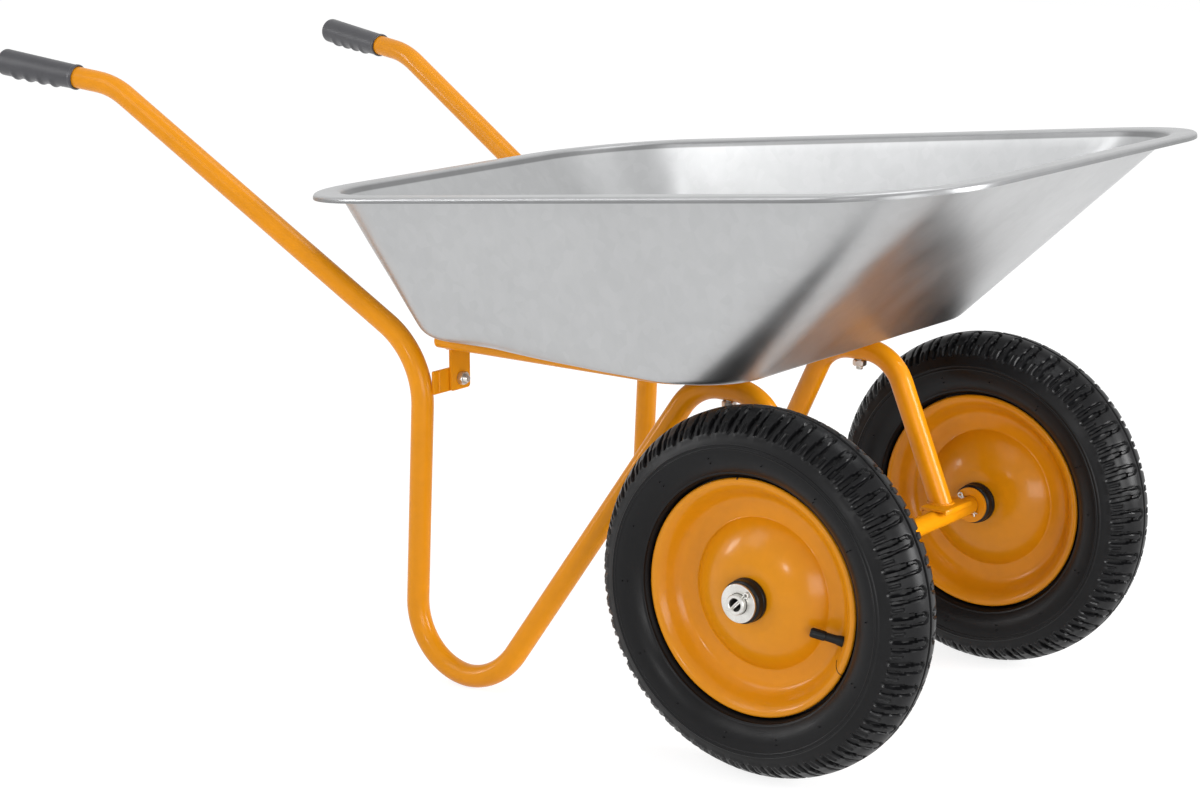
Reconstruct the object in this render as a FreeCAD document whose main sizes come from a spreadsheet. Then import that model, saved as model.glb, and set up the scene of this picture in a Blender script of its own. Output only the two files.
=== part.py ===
import FreeCAD, Part
import Sketcher
import math
import os
import re

# Two-wheeled wheelbarrow: a pressed steel tray on a bent tube frame, two pneumatic wheels on one
# hollow axle.  Millimetres.  +X points to the nose, +Y to the left of the person who pushes it,
# +Z up.  The origin is on the ground, midway between the grips' ends and the tray's front lip.
# Every length below is measured from the axle's line along X, from the middle plane along Y and
# from the ground along Z.  The right-hand pieces are mirror images of the left-hand ones.

os.makedirs("parts", exist_ok=True)
doc = FreeCAD.newDocument("wheelbarrow")

SIZES = {
    # overall reach from the axle
    "rear_reach": 1014, "nose_reach": 218,
    # frame tube
    "frame_tube_diameter": 24, "frame_tube_wall": 1.5,
    "grip_bend_x": -858, "grip_bend_height": 612, "grip_bend_spread": 243, "grip_bend_radius": 95,
    "grip_end_height": 631, "grip_end_spread": 268,
    "knee_x": -444, "knee_height": 352, "leg_spread": 201, "knee_bend_radius": 95,
    "foot_rear_x": -461, "foot_front_x": -349, "foot_bend_radius": 70,
    "top_run_rear_x": -150, "top_run_front_x": -70, "top_run_spread": 123,
    "top_bend_radius": 50, "front_run_end_x": -6,
    # wheels
    "wheel_track": 440, "tyre_diameter": 364, "tyre_section": 82, "tyre_wall": 5, "tread_depth": 5,
    "shoulder_half": 25, "shoulder_drop": 10, "cavity_fullness": 0.9, "bead_flare": 2,
    "rim_diameter": 232, "rim_width": 46, "rim_sheet": 2, "rim_well_radius": 92,
    "bead_seat_radius": 101, "rim_roll_radius": 2.5,
    "dish_radius": 75, "dish_height": 26, "dish_crown_radius": 30, "dish_arc_radius": 66,
    "inner_tube_wall": 2, "tube_gap": 0.5,
    "hub_diameter": 38, "hub_bore_diameter": 29, "hub_half_length": 39.5,
    "bearing_diameter": 32, "bearing_width": 7, "bearing_inset": 1, "race_thickness": 1.5,
    "ball_diameter": 2.8, "ball_count": 12, "cap_diameter": 42, "cap_wall": 2, "cap_reach": 42, "cap_hole_gap": 0.6,
    "valve_angle": 17, "valve_diameter": 6, "valve_cap_diameter": 9, "valve_reach": 29,
    "valve_root": 8, "valve_cap_length": 23, "valve_tilt": 28, "valve_offset": 9, "valve_seat_inset": 3,
    # axle
    "axle_diameter": 20, "axle_wall": 3.5, "axle_half_length": 271, "shaft_fit": 0.05,
    "axle_washer_diameter": 38, "axle_washer_thickness": 3, "washer_gap": 0.3,
    "cotter_diameter": 4, "cotter_length": 24, "cotter_eye_radius": 2.5, "cotter_angle": 45,
    "cotter_gap": 0.3,
    # axle saddles
    "saddle_length": 54, "saddle_width": 32, "saddle_plate": 3, "saddle_depth": 2,
    # tray
    "rim_height": 572.75, "rim_slope": 0.096, "tray_rear_x": -585,
    "lip_rear_half": 294, "lip_front_half": 317, "lip_rear_radius": 143, "lip_front_radius": 123,
    "flange_width": 24, "wall_rear_radius": 122, "wall_front_radius": 96,
    "floor_height": 377, "floor_rear_x": -449, "floor_front_x": -34,
    "floor_rear_half": 229, "floor_front_half": 250,
    "floor_rear_radius": 60, "floor_front_radius": 68, "floor_fillet": 26, "fillet_turn": 80,
    "fillet_steps": 5,
    "tray_sheet": 1.5, "lip_drop": 6,
    # tray support
    "rail_diameter": 16, "rail_wall": 1.5, "rail_spread": 190, "rail_tail": 10,
    "hoop_front_x": -110, "hoop_bend_radius": 45, "cross_tube_x": -422,
    "strap_thickness": 3, "strap_width": 31, "strap_height": 25, "strap_spread": 158,
    "strap_bolt_drop": 45.7, "rear_bolt_spread": 105,
    # bolts, nuts and washers
    "bolt_diameter": 8, "bolt_hole_gap": 0.25, "bolt_head_flats": 13, "bolt_head_height": 5.3,
    "nut_height": 6.5, "washer_diameter": 16, "washer_thickness": 1.6, "bolt_tail": 4,
    # grips
    "grip_length": 110, "grip_diameter": 30, "grip_mouth_diameter": 27, "grip_fit": 0.1,
    "grip_end_wall": 4, "grip_collar": 0.8, "grip_collar_length": 4, "finger_ridges": 4,
    "first_ridge": 27, "ridge_spacing": 18, "ridge_radius": 5, "ridge_sink": 2.5,
    "ridge_length": 18,
    # clearances
    "seat_gap": 0.2, "contact_gap": 0.3,
}

sheet = doc.addObject("Spreadsheet::Sheet", "Sizes")
for row, (alias, size) in enumerate(SIZES.items(), start=1):
    sheet.set(f"A{row}", alias)
    sheet.set(f"B{row}", str(size))
    sheet.setAlias(f"B{row}", alias)
doc.recompute()

NOSE_TO_ORIGIN = "(rear_reach - nose_reach) / 2"
AXLE_HEIGHT = "tyre_diameter / 2"
nodes = []


# ---------------------------------------------------------------- helpers

def formula(text):
    """The text with every size's name turned into a reference to the sheet."""
    return re.sub(r"[a-z_]+", lambda m: "Sizes." + m[0] if m[0] in SIZES else m[0], str(text))


def value(text):
    return float(sheet.evalExpression(formula(text)))


def bind(item, **settings):
    """Bind properties to formulas; two underscores stand for a dot in the property's path."""
    for prop, text in settings.items():
        item.setExpression(prop.replace("__", "."), formula(text))
    return item


def at(item, x="0", y="0", z="0"):
    return bind(item, Placement__Base__x=x, Placement__Base__y=y, Placement__Base__z=z)


def from_axle(item, x="0", y="0", z="0"):
    """Place an item whose own x is measured from the axle."""
    return at(item, f"{NOSE_TO_ORIGIN} + ({x})", y, z)


def add(kind, name, **settings):
    return bind(doc.addObject(kind, name), **settings)


def node(label, item):
    item.Label = label
    nodes.append(item)
    return item


def turn(item, axis, angle):
    item.Placement = FreeCAD.Placement(FreeCAD.Vector(), FreeCAD.Rotation(axis, angle))
    return item


ALONG_X = (FreeCAD.Vector(0, 1, 0), 90)
ALONG_Y = (FreeCAD.Vector(1, 0, 0), -90)


def cylinder(name, radius, length, x="0", y="0", z="0", along=None):
    item = add("Part::Cylinder", name, Radius=radius, Height=length)
    if along:
        turn(item, *along)
    return at(item, x, y, z)


def box(name, length, width, height, x, y, z):
    return at(add("Part::Box", name, Length=length, Width=width, Height=height), x, y, z)


def hexagon(name, flats, height, x, y, z, along=None):
    item = add("Part::Prism", name, Circumradius=f"({flats}) / 2 / cos(30)", Height=height)
    if along:
        turn(item, *along)
    return at(item, x, y, z)


def cut(name, base, tool):
    item = doc.addObject("Part::Cut", name)
    item.Base = base
    item.Tool = tool
    return item


def fuse(name, *shapes):
    item = doc.addObject("Part::MultiFuse", name)
    item.Shapes = list(shapes)
    return item


def group(name, *links):
    item = doc.addObject("Part::Compound", name)
    item.Links = list(links)
    return item


def mirrored(name, source):
    item = doc.addObject("Part::Mirroring", name)
    item.Source = source
    item.Normal = (0, 1, 0)
    return item


def both_sides(name, source):
    """The left-hand source piece and its mirror image, as two nodes."""
    node("left_" + name, source)
    node("right_" + name, mirrored("right_" + name, source))


def origin_plane(body, role):
    return next(item for item in body.Origin.OriginFeatures if item.Role == role)


def new_sketch(body, name, role):
    sketch = body.newObject("Sketcher::SketchObject", name)
    sketch.AttachmentSupport = [(origin_plane(body, role), "")]
    sketch.MapMode = "FlatFace"
    return sketch


def name_last(sketch, name, text):
    sketch.renameConstraint(sketch.ConstraintCount - 1, name)
    sketch.setExpression("Constraints." + name, formula(text))


def pin_point(sketch, geometry, position, name, across, up):
    for kind, text in (("DistanceX", across), ("DistanceY", up)):
        sketch.addConstraint(Sketcher.Constraint(kind, -1, 1, geometry, position, value(text)))
        name_last(sketch, name + kind[-1].lower(), text)


def outline(body, name, role, points, arcs=None):
    """A closed sketch through points given as pairs of formulas.  arcs maps the index of a
    stretch to its radius and side: +1 bulges to the right of the way it runs, -1 to the left."""
    sketch = new_sketch(body, name, role)
    arcs = arcs or {}
    count = len(points)
    corners = [FreeCAD.Vector(value(x), value(y), 0) for x, y in points]
    ends = []
    for i, start in enumerate(corners):
        end = corners[(i + 1) % count]
        if i not in arcs:
            sketch.addGeometry(Part.LineSegment(start, end))
            ends.append((1, 2))
            continue
        radius, side = value(arcs[i][0]), arcs[i][1]
        chord = end - start
        left = FreeCAD.Vector(-chord.y, chord.x, 0).normalize()
        rise = math.sqrt(radius ** 2 - (chord.Length / 2) ** 2)
        centre = start + chord / 2 + left * (rise * side)
        first, last = (start, end) if side > 0 else (end, start)
        angles = [math.atan2(p.y - centre.y, p.x - centre.x) for p in (first, last)]
        angles[1] += 2 * math.pi * (angles[1] < angles[0])
        circle = Part.Circle(centre, FreeCAD.Vector(0, 0, 1), radius)
        sketch.addGeometry(Part.ArcOfCircle(circle, *angles))
        ends.append((1, 2) if side > 0 else (2, 1))
    for i, (x, y) in enumerate(points):
        before = (i - 1) % count
        sketch.addConstraint(
            Sketcher.Constraint("Coincident", before, ends[before][1], i, ends[i][0]))
        pin_point(sketch, i, ends[i][0], f"p{i}_", x, y)
    for i, (radius, _) in arcs.items():
        sketch.addConstraint(Sketcher.Constraint("Radius", i, value(radius)))
        name_last(sketch, f"arc{i}_radius", radius)
    return sketch


def revolved(name, points, arcs=None, axis="V_Axis"):
    """A body turned about its own Y axis from an outline of (radius, distance along Y) pairs, or
    about its own X axis from (distance along X, radius) pairs."""
    body = doc.addObject("PartDesign::Body", name)
    sketch = outline(body, name + "_profile", "XY_Plane", points, arcs)
    turned = body.newObject("PartDesign::Revolution", name + "_turned")
    turned.Profile = sketch
    turned.ReferenceAxis = (sketch, [axis])
    turned.Angle = 360
    return body


def ring(name, inner, outer, low, high):
    return revolved(name, [(inner, low), (outer, low), (outer, high), (inner, high)])


# ---------------------------------------------------------------- bent tubes

def bent_path(name, points, radii):
    """Straight runs joined by tangent arcs, one arc at each inner point."""
    corners = [FreeCAD.Vector(*(value(c) for c in point)) for point in points]
    edges = []
    start = corners[0]
    for before, corner, after, radius in zip(corners, corners[1:], corners[2:], radii):
        back = (before - corner).normalize()
        ahead = (after - corner).normalize()
        half = back.getAngle(ahead) / 2
        reach = value(radius) / math.tan(half)
        middle = corner + (back + ahead).normalize() * (value(radius) / math.sin(half) - value(radius))
        enter, leave = corner + back * reach, corner + ahead * reach
        edges.append(Part.LineSegment(start, enter).toShape())
        edges.append(Part.Arc(enter, middle, leave).toShape())
        start = leave
    edges.append(Part.LineSegment(start, corners[-1]).toShape())
    path = doc.addObject("Part::Feature", name)
    path.Shape = Part.Wire(edges)
    return path


def swept(name, path, radius):
    section = add("Part::Circle", name + "_section", Radius=radius)
    section.AttachmentSupport = [(path, "Edge1")]
    section.MapMode = "NormalToEdge"
    section.MapPathParameter = 0
    sweep = doc.addObject("Part::Sweep", name)
    sweep.Sections = [section]
    sweep.Spine = (path, [f"Edge{i + 1}" for i in range(len(path.Shape.Edges))])
    sweep.Solid = True
    sweep.Transition = "Transformed"
    return sweep


def bent_tube(name, points, radii, diameter, wall):
    path = bent_path(name + "_path", points, radii)
    outside = swept(name + "_outside", path, f"{diameter} / 2")
    inside = swept(name + "_inside", path, f"{diameter} / 2 - {wall}")
    return cut(name, outside, inside)


# ---------------------------------------------------------------- frame

FOOT_HEIGHT = "frame_tube_diameter / 2"
SADDLE_UNDERSIDE = f"{AXLE_HEIGHT} + axle_diameter / 2 + seat_gap"
SADDLE_TOP = f"{SADDLE_UNDERSIDE} + saddle_plate"
RAIL_HEIGHT = "(floor_height - contact_gap - rail_diameter / 2)"
TOP_RUN_HEIGHT = f"({RAIL_HEIGHT} - rail_diameter / 2 - seat_gap - frame_tube_diameter / 2)"
FRONT_LEAN = f"(front_run_end_x - top_run_front_x) / ({TOP_RUN_HEIGHT} - ({SADDLE_TOP}))"
FRONT_TAIL = "frame_tube_diameter / 2"
GRIP_DX = "(rear_reach + grip_bend_x)"
GRIP_DY = "(grip_end_spread - grip_bend_spread)"
GRIP_DZ = "(grip_end_height - grip_bend_height)"
GRIP_RUN = f"sqrt({GRIP_DX}^2 + {GRIP_DY}^2 + {GRIP_DZ}^2)"


def grip_point(distance):
    """The point on the grip's axis at a distance forward of the grip's closed end."""
    return tuple(f"{end} + ({distance}) * {step} / {GRIP_RUN}" for end, step in (
        ("-rear_reach", GRIP_DX), ("grip_end_spread", f"(0 - {GRIP_DY})"),
        ("grip_end_height", f"(0 - {GRIP_DZ})")))


def build_frame():
    tube = bent_tube("frame_tube_full", [
        grip_point("grip_end_wall + contact_gap"),
        ("grip_bend_x", "grip_bend_spread", "grip_bend_height"),
        ("knee_x", "leg_spread", "knee_height"),
        ("foot_rear_x", "leg_spread", FOOT_HEIGHT),
        ("foot_front_x", "leg_spread", FOOT_HEIGHT),
        ("top_run_rear_x", "top_run_spread", TOP_RUN_HEIGHT),
        ("top_run_front_x", "top_run_spread", TOP_RUN_HEIGHT),
        (f"front_run_end_x + {FRONT_LEAN} * {FRONT_TAIL}", "top_run_spread",
         f"{SADDLE_TOP} - {FRONT_TAIL}")],
        ["grip_bend_radius", "knee_bend_radius", "foot_bend_radius", "foot_bend_radius",
         "top_bend_radius", "top_bend_radius"],
        "frame_tube_diameter", "frame_tube_wall")
    end_trim = box("front_end_trim", "frame_tube_diameter * 3", "frame_tube_diameter * 2",
                   "frame_tube_diameter", "front_run_end_x - frame_tube_diameter * 1.5",
                   "top_run_spread - frame_tube_diameter",
                   f"{SADDLE_TOP} + seat_gap - frame_tube_diameter")
    bolt_hole = cylinder("top_run_bolt_hole", "bolt_diameter / 2 + bolt_hole_gap",
                         "frame_tube_diameter * 2", "hoop_front_x", "top_run_spread",
                         f"{TOP_RUN_HEIGHT} - frame_tube_diameter")
    tools = group("frame_cuts", end_trim, bolt_hole)
    both_sides("frame_tube", from_axle(cut("frame_tube", tube, tools)))


def build_grips():
    bore = "frame_tube_diameter / 2 + grip_fit"
    skin = "grip_diameter / 2"
    mouth = "grip_mouth_diameter / 2"
    crown = "grip_diameter / 4"
    # The sleeve's own +X runs forward along the tube, from the closed end to the open one.
    sleeve = revolved("grip_sleeve", [
        ("0", "0"), ("0", f"{skin} - {crown}"), (crown, skin),
        ("grip_length - grip_collar_length", mouth),
        ("grip_length - grip_collar_length", f"{mouth} + grip_collar"),
        ("grip_length", f"{mouth} + grip_collar"), ("grip_length", bore),
        ("grip_end_wall", bore), ("grip_end_wall", "0")], {1: (crown, -1)}, "H_Axis")
    ridges = []
    for i in range(int(value("finger_ridges"))):
        along = f"(first_ridge + ridge_spacing * {i})"
        depth = f"({skin} - ({skin} - {mouth}) * {along} / grip_length)"
        ridges.append(cylinder(f"finger_ridge_{i + 1}", "ridge_radius", "ridge_length", along,
                               "0 - ridge_length / 2", f"ridge_sink - {depth}", ALONG_Y))
    clear_bore = cylinder("grip_bore_tool", bore, "grip_length", "grip_end_wall", "0", "0", ALONG_X)
    grip = cut("grip", fuse("grip_with_ridges", sleeve, *ridges), clear_bore)
    bind(from_axle(grip, "0 - rear_reach", "grip_end_spread", "grip_end_height"),
         Placement__Rotation__Yaw=f"-1 * atan2({GRIP_DY}; {GRIP_DX})",
         Placement__Rotation__Pitch=f"atan2({GRIP_DZ}; sqrt({GRIP_DX}^2 + {GRIP_DY}^2))")
    both_sides("grip", grip)


# ---------------------------------------------------------------- tray support

RAIL_REAR = "cross_tube_x - rail_tail"
CROSS_REAR = "cross_tube_x - rail_diameter / 2 - seat_gap"
HOLE = "bolt_diameter / 2 + bolt_hole_gap"


def build_support():
    hoop = bent_tube("hoop_tube", [
        (RAIL_REAR, "rail_spread", RAIL_HEIGHT), ("hoop_front_x", "rail_spread", RAIL_HEIGHT),
        ("hoop_front_x", "0 - rail_spread", RAIL_HEIGHT),
        (RAIL_REAR, "0 - rail_spread", RAIL_HEIGHT)],
        ["hoop_bend_radius", "hoop_bend_radius"], "rail_diameter", "rail_wall")
    holes = [cylinder(f"hoop_hole_{side}", HOLE, "rail_diameter * 2", "hoop_front_x",
                      f"{side} * top_run_spread", f"{RAIL_HEIGHT} - rail_diameter")
             for side in (1, -1)]
    drilled = cut("tray_support_hoop", hoop, group("hoop_holes", *holes))
    node("tray_support_hoop", from_axle(drilled))

    outside = cylinder("cross_outside", "rail_diameter / 2", "rail_spread * 2", "cross_tube_x",
                       "0 - rail_spread", RAIL_HEIGHT, ALONG_Y)
    tools = [cylinder("cross_inside", "rail_diameter / 2 - rail_wall", "rail_spread * 2",
                      "cross_tube_x", "0 - rail_spread", RAIL_HEIGHT, ALONG_Y)]
    for side in (1, -1):
        tools.append(cylinder(f"cross_cope_{side}", "rail_diameter / 2 + seat_gap",
                              "rail_diameter * 3", "cross_tube_x - rail_diameter * 1.5",
                              f"{side} * rail_spread", RAIL_HEIGHT, ALONG_X))
        tools.append(cylinder(f"cross_hole_{side}", HOLE, "rail_diameter * 2", "cross_tube_x",
                              f"{side} * rear_bolt_spread", f"{RAIL_HEIGHT} - rail_diameter"))
    coped = cut("rear_cross_tube", outside, group("cross_tools", *tools))
    node("rear_cross_tube", from_axle(coped))


STRAP_INNER = "strap_spread - strap_width / 2"
STRAP_BOLT_HEIGHT = f"({RAIL_HEIGHT} - strap_bolt_drop)"
STRAP_FOOT = f"({STRAP_BOLT_HEIGHT} - strap_height / 2)"


def strap_hole(name):
    return cylinder(name, HOLE, "strap_thickness * 6", f"{CROSS_REAR} - strap_thickness * 4",
                    "strap_spread", STRAP_BOLT_HEIGHT, ALONG_X)


def build_straps():
    hanging = box("hanging_strap", "strap_thickness", "strap_width",
                  f"{RAIL_HEIGHT} + rail_diameter / 4 - {STRAP_FOOT}",
                  f"{CROSS_REAR} - strap_thickness", STRAP_INNER, STRAP_FOOT)
    both_sides("hanging_strap",
               from_axle(cut("hanging_strap_drilled", hanging, strap_hole("hanging_strap_hole"))))

    lateral = box("leg_strap", "strap_thickness", f"leg_spread - ({STRAP_INNER})", "strap_height",
                  f"{CROSS_REAR} - strap_thickness * 2 - seat_gap", STRAP_INNER, STRAP_FOOT)
    leg_space = swept("leg_space", doc.getObject("frame_tube_full_path"),
                      "frame_tube_diameter / 2 + seat_gap")
    tools = group("leg_strap_tools", leg_space, strap_hole("leg_strap_hole"))
    both_sides("leg_strap", from_axle(cut("leg_strap_drilled", lateral, tools)))


# ---------------------------------------------------------------- bolts

def bolt(name, shank, x, y, z, along=None, head_at_low_end=False):
    """A hexagon bolt.  z is the plane under its head and the shank runs down from it, or, lying
    along X, x is that plane and the shank runs forward."""
    if along:
        head = hexagon(name + "_head", "bolt_head_flats", "bolt_head_height",
                       f"{x} - bolt_head_height", y, z, along)
        rod = cylinder(name + "_rod", "bolt_diameter / 2", shank, x, y, z, along)
    else:
        head = hexagon(name + "_head", "bolt_head_flats", "bolt_head_height", x, y, z)
        rod = cylinder(name + "_rod", "bolt_diameter / 2", shank, x, y, f"{z} - ({shank})")
    return fuse(name, head, rod)


def nut(name, x, y, z, along=None):
    body = hexagon(name + "_hexagon", "bolt_head_flats", "nut_height", x, y, z, along)
    thread = cylinder(name + "_thread", "bolt_diameter / 2 + shaft_fit", "nut_height", x, y, z, along)
    return cut(name, body, thread)


def washer(name, x, y, z):
    disc = cylinder(name + "_disc", "washer_diameter / 2", "washer_thickness", x, y, z)
    hole = cylinder(name + "_hole", HOLE, "washer_thickness", x, y, z)
    return cut(name, disc, hole)


FLOOR_TOP = "floor_height + tray_sheet + seat_gap"
HEAD_SEAT = f"{FLOOR_TOP} + washer_thickness + seat_gap"


def build_tray_bolts():
    places = {"front": ("hoop_front_x", "top_run_spread",
                        f"{TOP_RUN_HEIGHT} - frame_tube_diameter / 2 - seat_gap"),
              "rear": ("cross_tube_x", "rear_bolt_spread",
                       f"{RAIL_HEIGHT} - rail_diameter / 2 - seat_gap")}
    nuts, washers = [], []
    for name, (x, y, nut_top) in places.items():
        shank = f"{HEAD_SEAT} - ({nut_top}) + nut_height + bolt_tail"
        pair = []
        for side in (1, -1):
            tag = f"{name}_{'left' if side > 0 else 'right'}"
            across = f"{side} * {y}"
            pair.append(bolt(f"tray_bolt_{tag}", shank, x, across, HEAD_SEAT))
            washers.append(washer(f"tray_washer_{tag}", x, across, FLOOR_TOP))
            nuts.append(nut(f"tray_nut_{tag}", x, across, f"{nut_top} - nut_height"))
        node(f"{name}_tray_bolts", from_axle(group(f"{name}_tray_bolts", *pair)))
    node("tray_bolt_washers", from_axle(group("tray_bolt_washers", *washers)))
    node("tray_bolt_nuts", from_axle(group("tray_bolt_nuts", *nuts)))


def build_strap_bolts():
    head_seat = f"{CROSS_REAR} - strap_thickness * 2 - seat_gap * 2"
    nut_seat = f"{CROSS_REAR} + seat_gap"
    shank = "strap_thickness * 2 + seat_gap * 3 + nut_height + bolt_tail"
    bolts, nuts = [], []
    for side in (1, -1):
        across = f"{side} * strap_spread"
        bolts.append(bolt(f"strap_bolt_{side}", shank, head_seat, across, STRAP_BOLT_HEIGHT,
                          ALONG_X))
        nuts.append(nut(f"strap_nut_{side}", nut_seat, across, STRAP_BOLT_HEIGHT, ALONG_X))
    node("strap_bolts", from_axle(group("strap_bolts", *bolts)))
    node("strap_nuts", from_axle(group("strap_nuts", *nuts)))


# ---------------------------------------------------------------- axle

WASHER_SEAT = "cap_reach + washer_gap"
COTTER_REACH = f"({WASHER_SEAT} + axle_washer_thickness + cotter_gap + cotter_diameter / 2)"
HUB_SIDES = {"left_outer": (1, 1), "left_inner": (1, -1), "right_inner": (-1, 1),
             "right_outer": (-1, -1)}


def turned_in_axle(item, y, forward):
    """Place an item, drawn upright at the origin, in the axle at y and lean it to the front (1)
    or to the rear (-1)."""
    return bind(at(item, "0", y, AXLE_HEIGHT), Placement__Rotation__Pitch=f"{forward} * cotter_angle")


def build_axle():
    length = "axle_half_length * 2"
    rod = cylinder("axle_outside", "axle_diameter / 2", length, "0", "0 - axle_half_length",
                   AXLE_HEIGHT, ALONG_Y)
    tools = [cylinder("axle_inside", "axle_diameter / 2 - axle_wall", length, "0",
                      "0 - axle_half_length", AXLE_HEIGHT, ALONG_Y)]
    washers, cotters = [], []
    for name, (side, outward) in HUB_SIDES.items():
        middle = f"{side} * wheel_track / 2"
        pin_y = f"{middle} + {outward} * {COTTER_REACH}"
        hole = cylinder(f"cotter_hole_{name}", "cotter_diameter / 2 + shaft_fit",
                        "axle_diameter * 2", "0", "0", "0 - axle_diameter")
        tools.append(turned_in_axle(group(f"cotter_hole_{name}_turned", hole), pin_y, outward))
        low = f"{WASHER_SEAT}" if outward > 0 else f"0 - ({WASHER_SEAT}) - axle_washer_thickness"
        disc = ring(f"axle_washer_{name}", "axle_diameter / 2 + bolt_hole_gap",
                    "axle_washer_diameter / 2", low, f"{low} + axle_washer_thickness")
        washers.append(at(disc, "0", middle, AXLE_HEIGHT))
        pin = cylinder(f"cotter_{name}_pin", "cotter_diameter / 2", "cotter_length",
                       "0", "0", "0 - cotter_length / 2")
        eye = add("Part::Torus", f"cotter_{name}_eye", Radius1="cotter_eye_radius",
                  Radius2="cotter_diameter / 4")
        turn(eye, *ALONG_Y)
        at(eye, "0", "0", "cotter_length / 2 + cotter_eye_radius")
        cotters.append(turned_in_axle(fuse(f"cotter_{name}", pin, eye), pin_y, outward))
    node("axle", from_axle(cut("axle", rod, group("axle_tools", *tools))))
    node("axle_washers", from_axle(group("axle_washers", *washers)))
    node("cotter_pins", from_axle(group("cotter_pins", *cotters)))


def build_saddles():
    wide = "saddle_width"
    inner = "saddle_width - saddle_plate * 2"
    shell = box("saddle_block", wide, "saddle_length", "saddle_plate + saddle_depth",
                f"0 - {wide} / 2", "top_run_spread - saddle_length / 2",
                f"{SADDLE_UNDERSIDE} - saddle_depth")
    hollow = box("saddle_hollow", inner, "saddle_length", "saddle_depth",
                 f"0 - ({inner}) / 2", "top_run_spread - saddle_length / 2",
                 f"{SADDLE_UNDERSIDE} - saddle_depth")
    both_sides("axle_saddle", from_axle(cut("axle_saddle", shell, hollow)))


# ---------------------------------------------------------------- wheels

BEARING_OUT = "hub_half_length - bearing_inset"
BEARING_IN = f"{BEARING_OUT} - bearing_width"
BALL_CIRCLE = "(bearing_diameter / 2 - race_thickness - shaft_fit - ball_diameter / 2)"


def wheel_piece(name, item):
    both_sides(name, from_axle(item, "0", "wheel_track / 2", AXLE_HEIGHT))


def two_ends(name, inner, outer, low, high):
    """Two equal rings, one towards each side of the wheel."""
    return group(name + "_pair", ring(name + "_out", inner, outer, low, high),
                 ring(name + "_in", inner, outer, f"0 - ({high})", f"0 - ({low})"))


def valve_line(distance):
    """A point on the valve's axis in the wheel's own radial plane; distance runs out from the
    rim's wall towards the open side."""
    return (f"rim_well_radius + valve_seat_inset - ({distance}) * cos(valve_tilt)",
            f"valve_offset + ({distance}) * sin(valve_tilt)")


def valve_rod(name, radius, start, length):
    rod = add("Part::Cylinder", name, Radius=radius, Height=length)
    bind(rod, Placement__Rotation__Yaw="180 - valve_tilt", Placement__Rotation__Pitch="90")
    return at(rod, *valve_line(start))


def turned_to_valve(item):
    return bind(item, Placement__Rotation__Pitch="valve_angle")


def build_rim():
    hole = "hub_diameter / 2 + seat_gap"
    edge = "rim_width / 2"
    lip = "rim_diameter / 2 - rim_roll_radius"
    # From the hub outward: crown, dish, ledge, well wall, bead seat and rolled flange.  Each half
    # is a pressed disc; the two lie back to back on the wheel's middle plane.
    half = revolved("rim_half", [
        (hole, "dish_height"), ("dish_crown_radius", "dish_height"),
        ("dish_radius", "seat_gap / 2"), ("rim_well_radius", "seat_gap / 2"),
        ("bead_seat_radius", f"{edge} - rim_sheet * 2"),
        ("bead_seat_radius + rim_sheet", f"{edge} - rim_sheet"),
        (lip, f"{edge} - rim_sheet"), ("rim_diameter / 2", edge),
        (lip, f"{edge} + rim_roll_radius / 2"), ("bead_seat_radius", edge),
        ("bead_seat_radius - rim_sheet", f"{edge} - rim_sheet * 1.5"),
        ("rim_well_radius - rim_sheet / 2", "rim_sheet"), ("dish_radius + rim_sheet / 2", "rim_sheet"),
        ("dish_crown_radius + rim_sheet / 2", "dish_height + rim_sheet"),
        (hole, "dish_height + rim_sheet")],
        {1: ("dish_arc_radius", -1), 12: ("dish_arc_radius + rim_sheet", 1)})
    hole_tool = turned_to_valve(group("valve_hole", valve_rod(
        "valve_hole_rod", "valve_diameter / 2 + seat_gap", "0 - valve_reach", "valve_reach * 2")))
    wheel_piece("rim_outer_half", cut("rim_outer_half", half, hole_tool))
    wheel_piece("rim_inner_half", group("rim_inner_half", mirrored("rim_half_turned", half)))


def build_valve():
    cap_start = "valve_reach - valve_cap_length"
    grip_length = "valve_cap_length / 2"
    stem = valve_rod("valve_rod", "valve_diameter / 2", "0 - valve_root",
                     f"valve_root + {cap_start} + {grip_length}")
    wheel_piece("valve_stem", turned_to_valve(group("valve_stem", stem)))
    cap = valve_rod("valve_cap_rod", "valve_cap_diameter / 2", cap_start, "valve_cap_length")
    bore = valve_rod("valve_cap_bore", "valve_diameter / 2 + shaft_fit", cap_start,
                     f"{grip_length} + seat_gap")
    wheel_piece("valve_cap", turned_to_valve(group("valve_cap", cut("valve_cap_cut", cap, bore))))


BEAD = "bead_seat_radius + rim_sheet + contact_gap"
BEAD_HALF = "rim_width / 2 - rim_sheet - contact_gap"
TYRE_LIP = "rim_diameter / 2 + contact_gap + bead_flare"


def tyre_cavity(inset_by):
    """Outline and arcs of the space inside the tyre, drawn in by a distance."""
    half = f"({BEAD_HALF} - tyre_wall - ({inset_by}))"
    ceiling = f"(tyre_diameter / 2 - tread_depth - tyre_wall - ({inset_by}))"
    chord = f"(sqrt(({ceiling} - ({TYRE_LIP}))^2 + {half}^2) / 2)"
    radius = f"{chord} * (cavity_fullness + 1 / cavity_fullness) / 2"
    points = [(f"{BEAD} + {inset_by}", half), (TYRE_LIP, half), (ceiling, "0"),
              (TYRE_LIP, f"0 - {half}"), (f"{BEAD} + {inset_by}", f"0 - {half}")]
    return points, {1: (radius, -1), 2: (radius, -1)}


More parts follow.
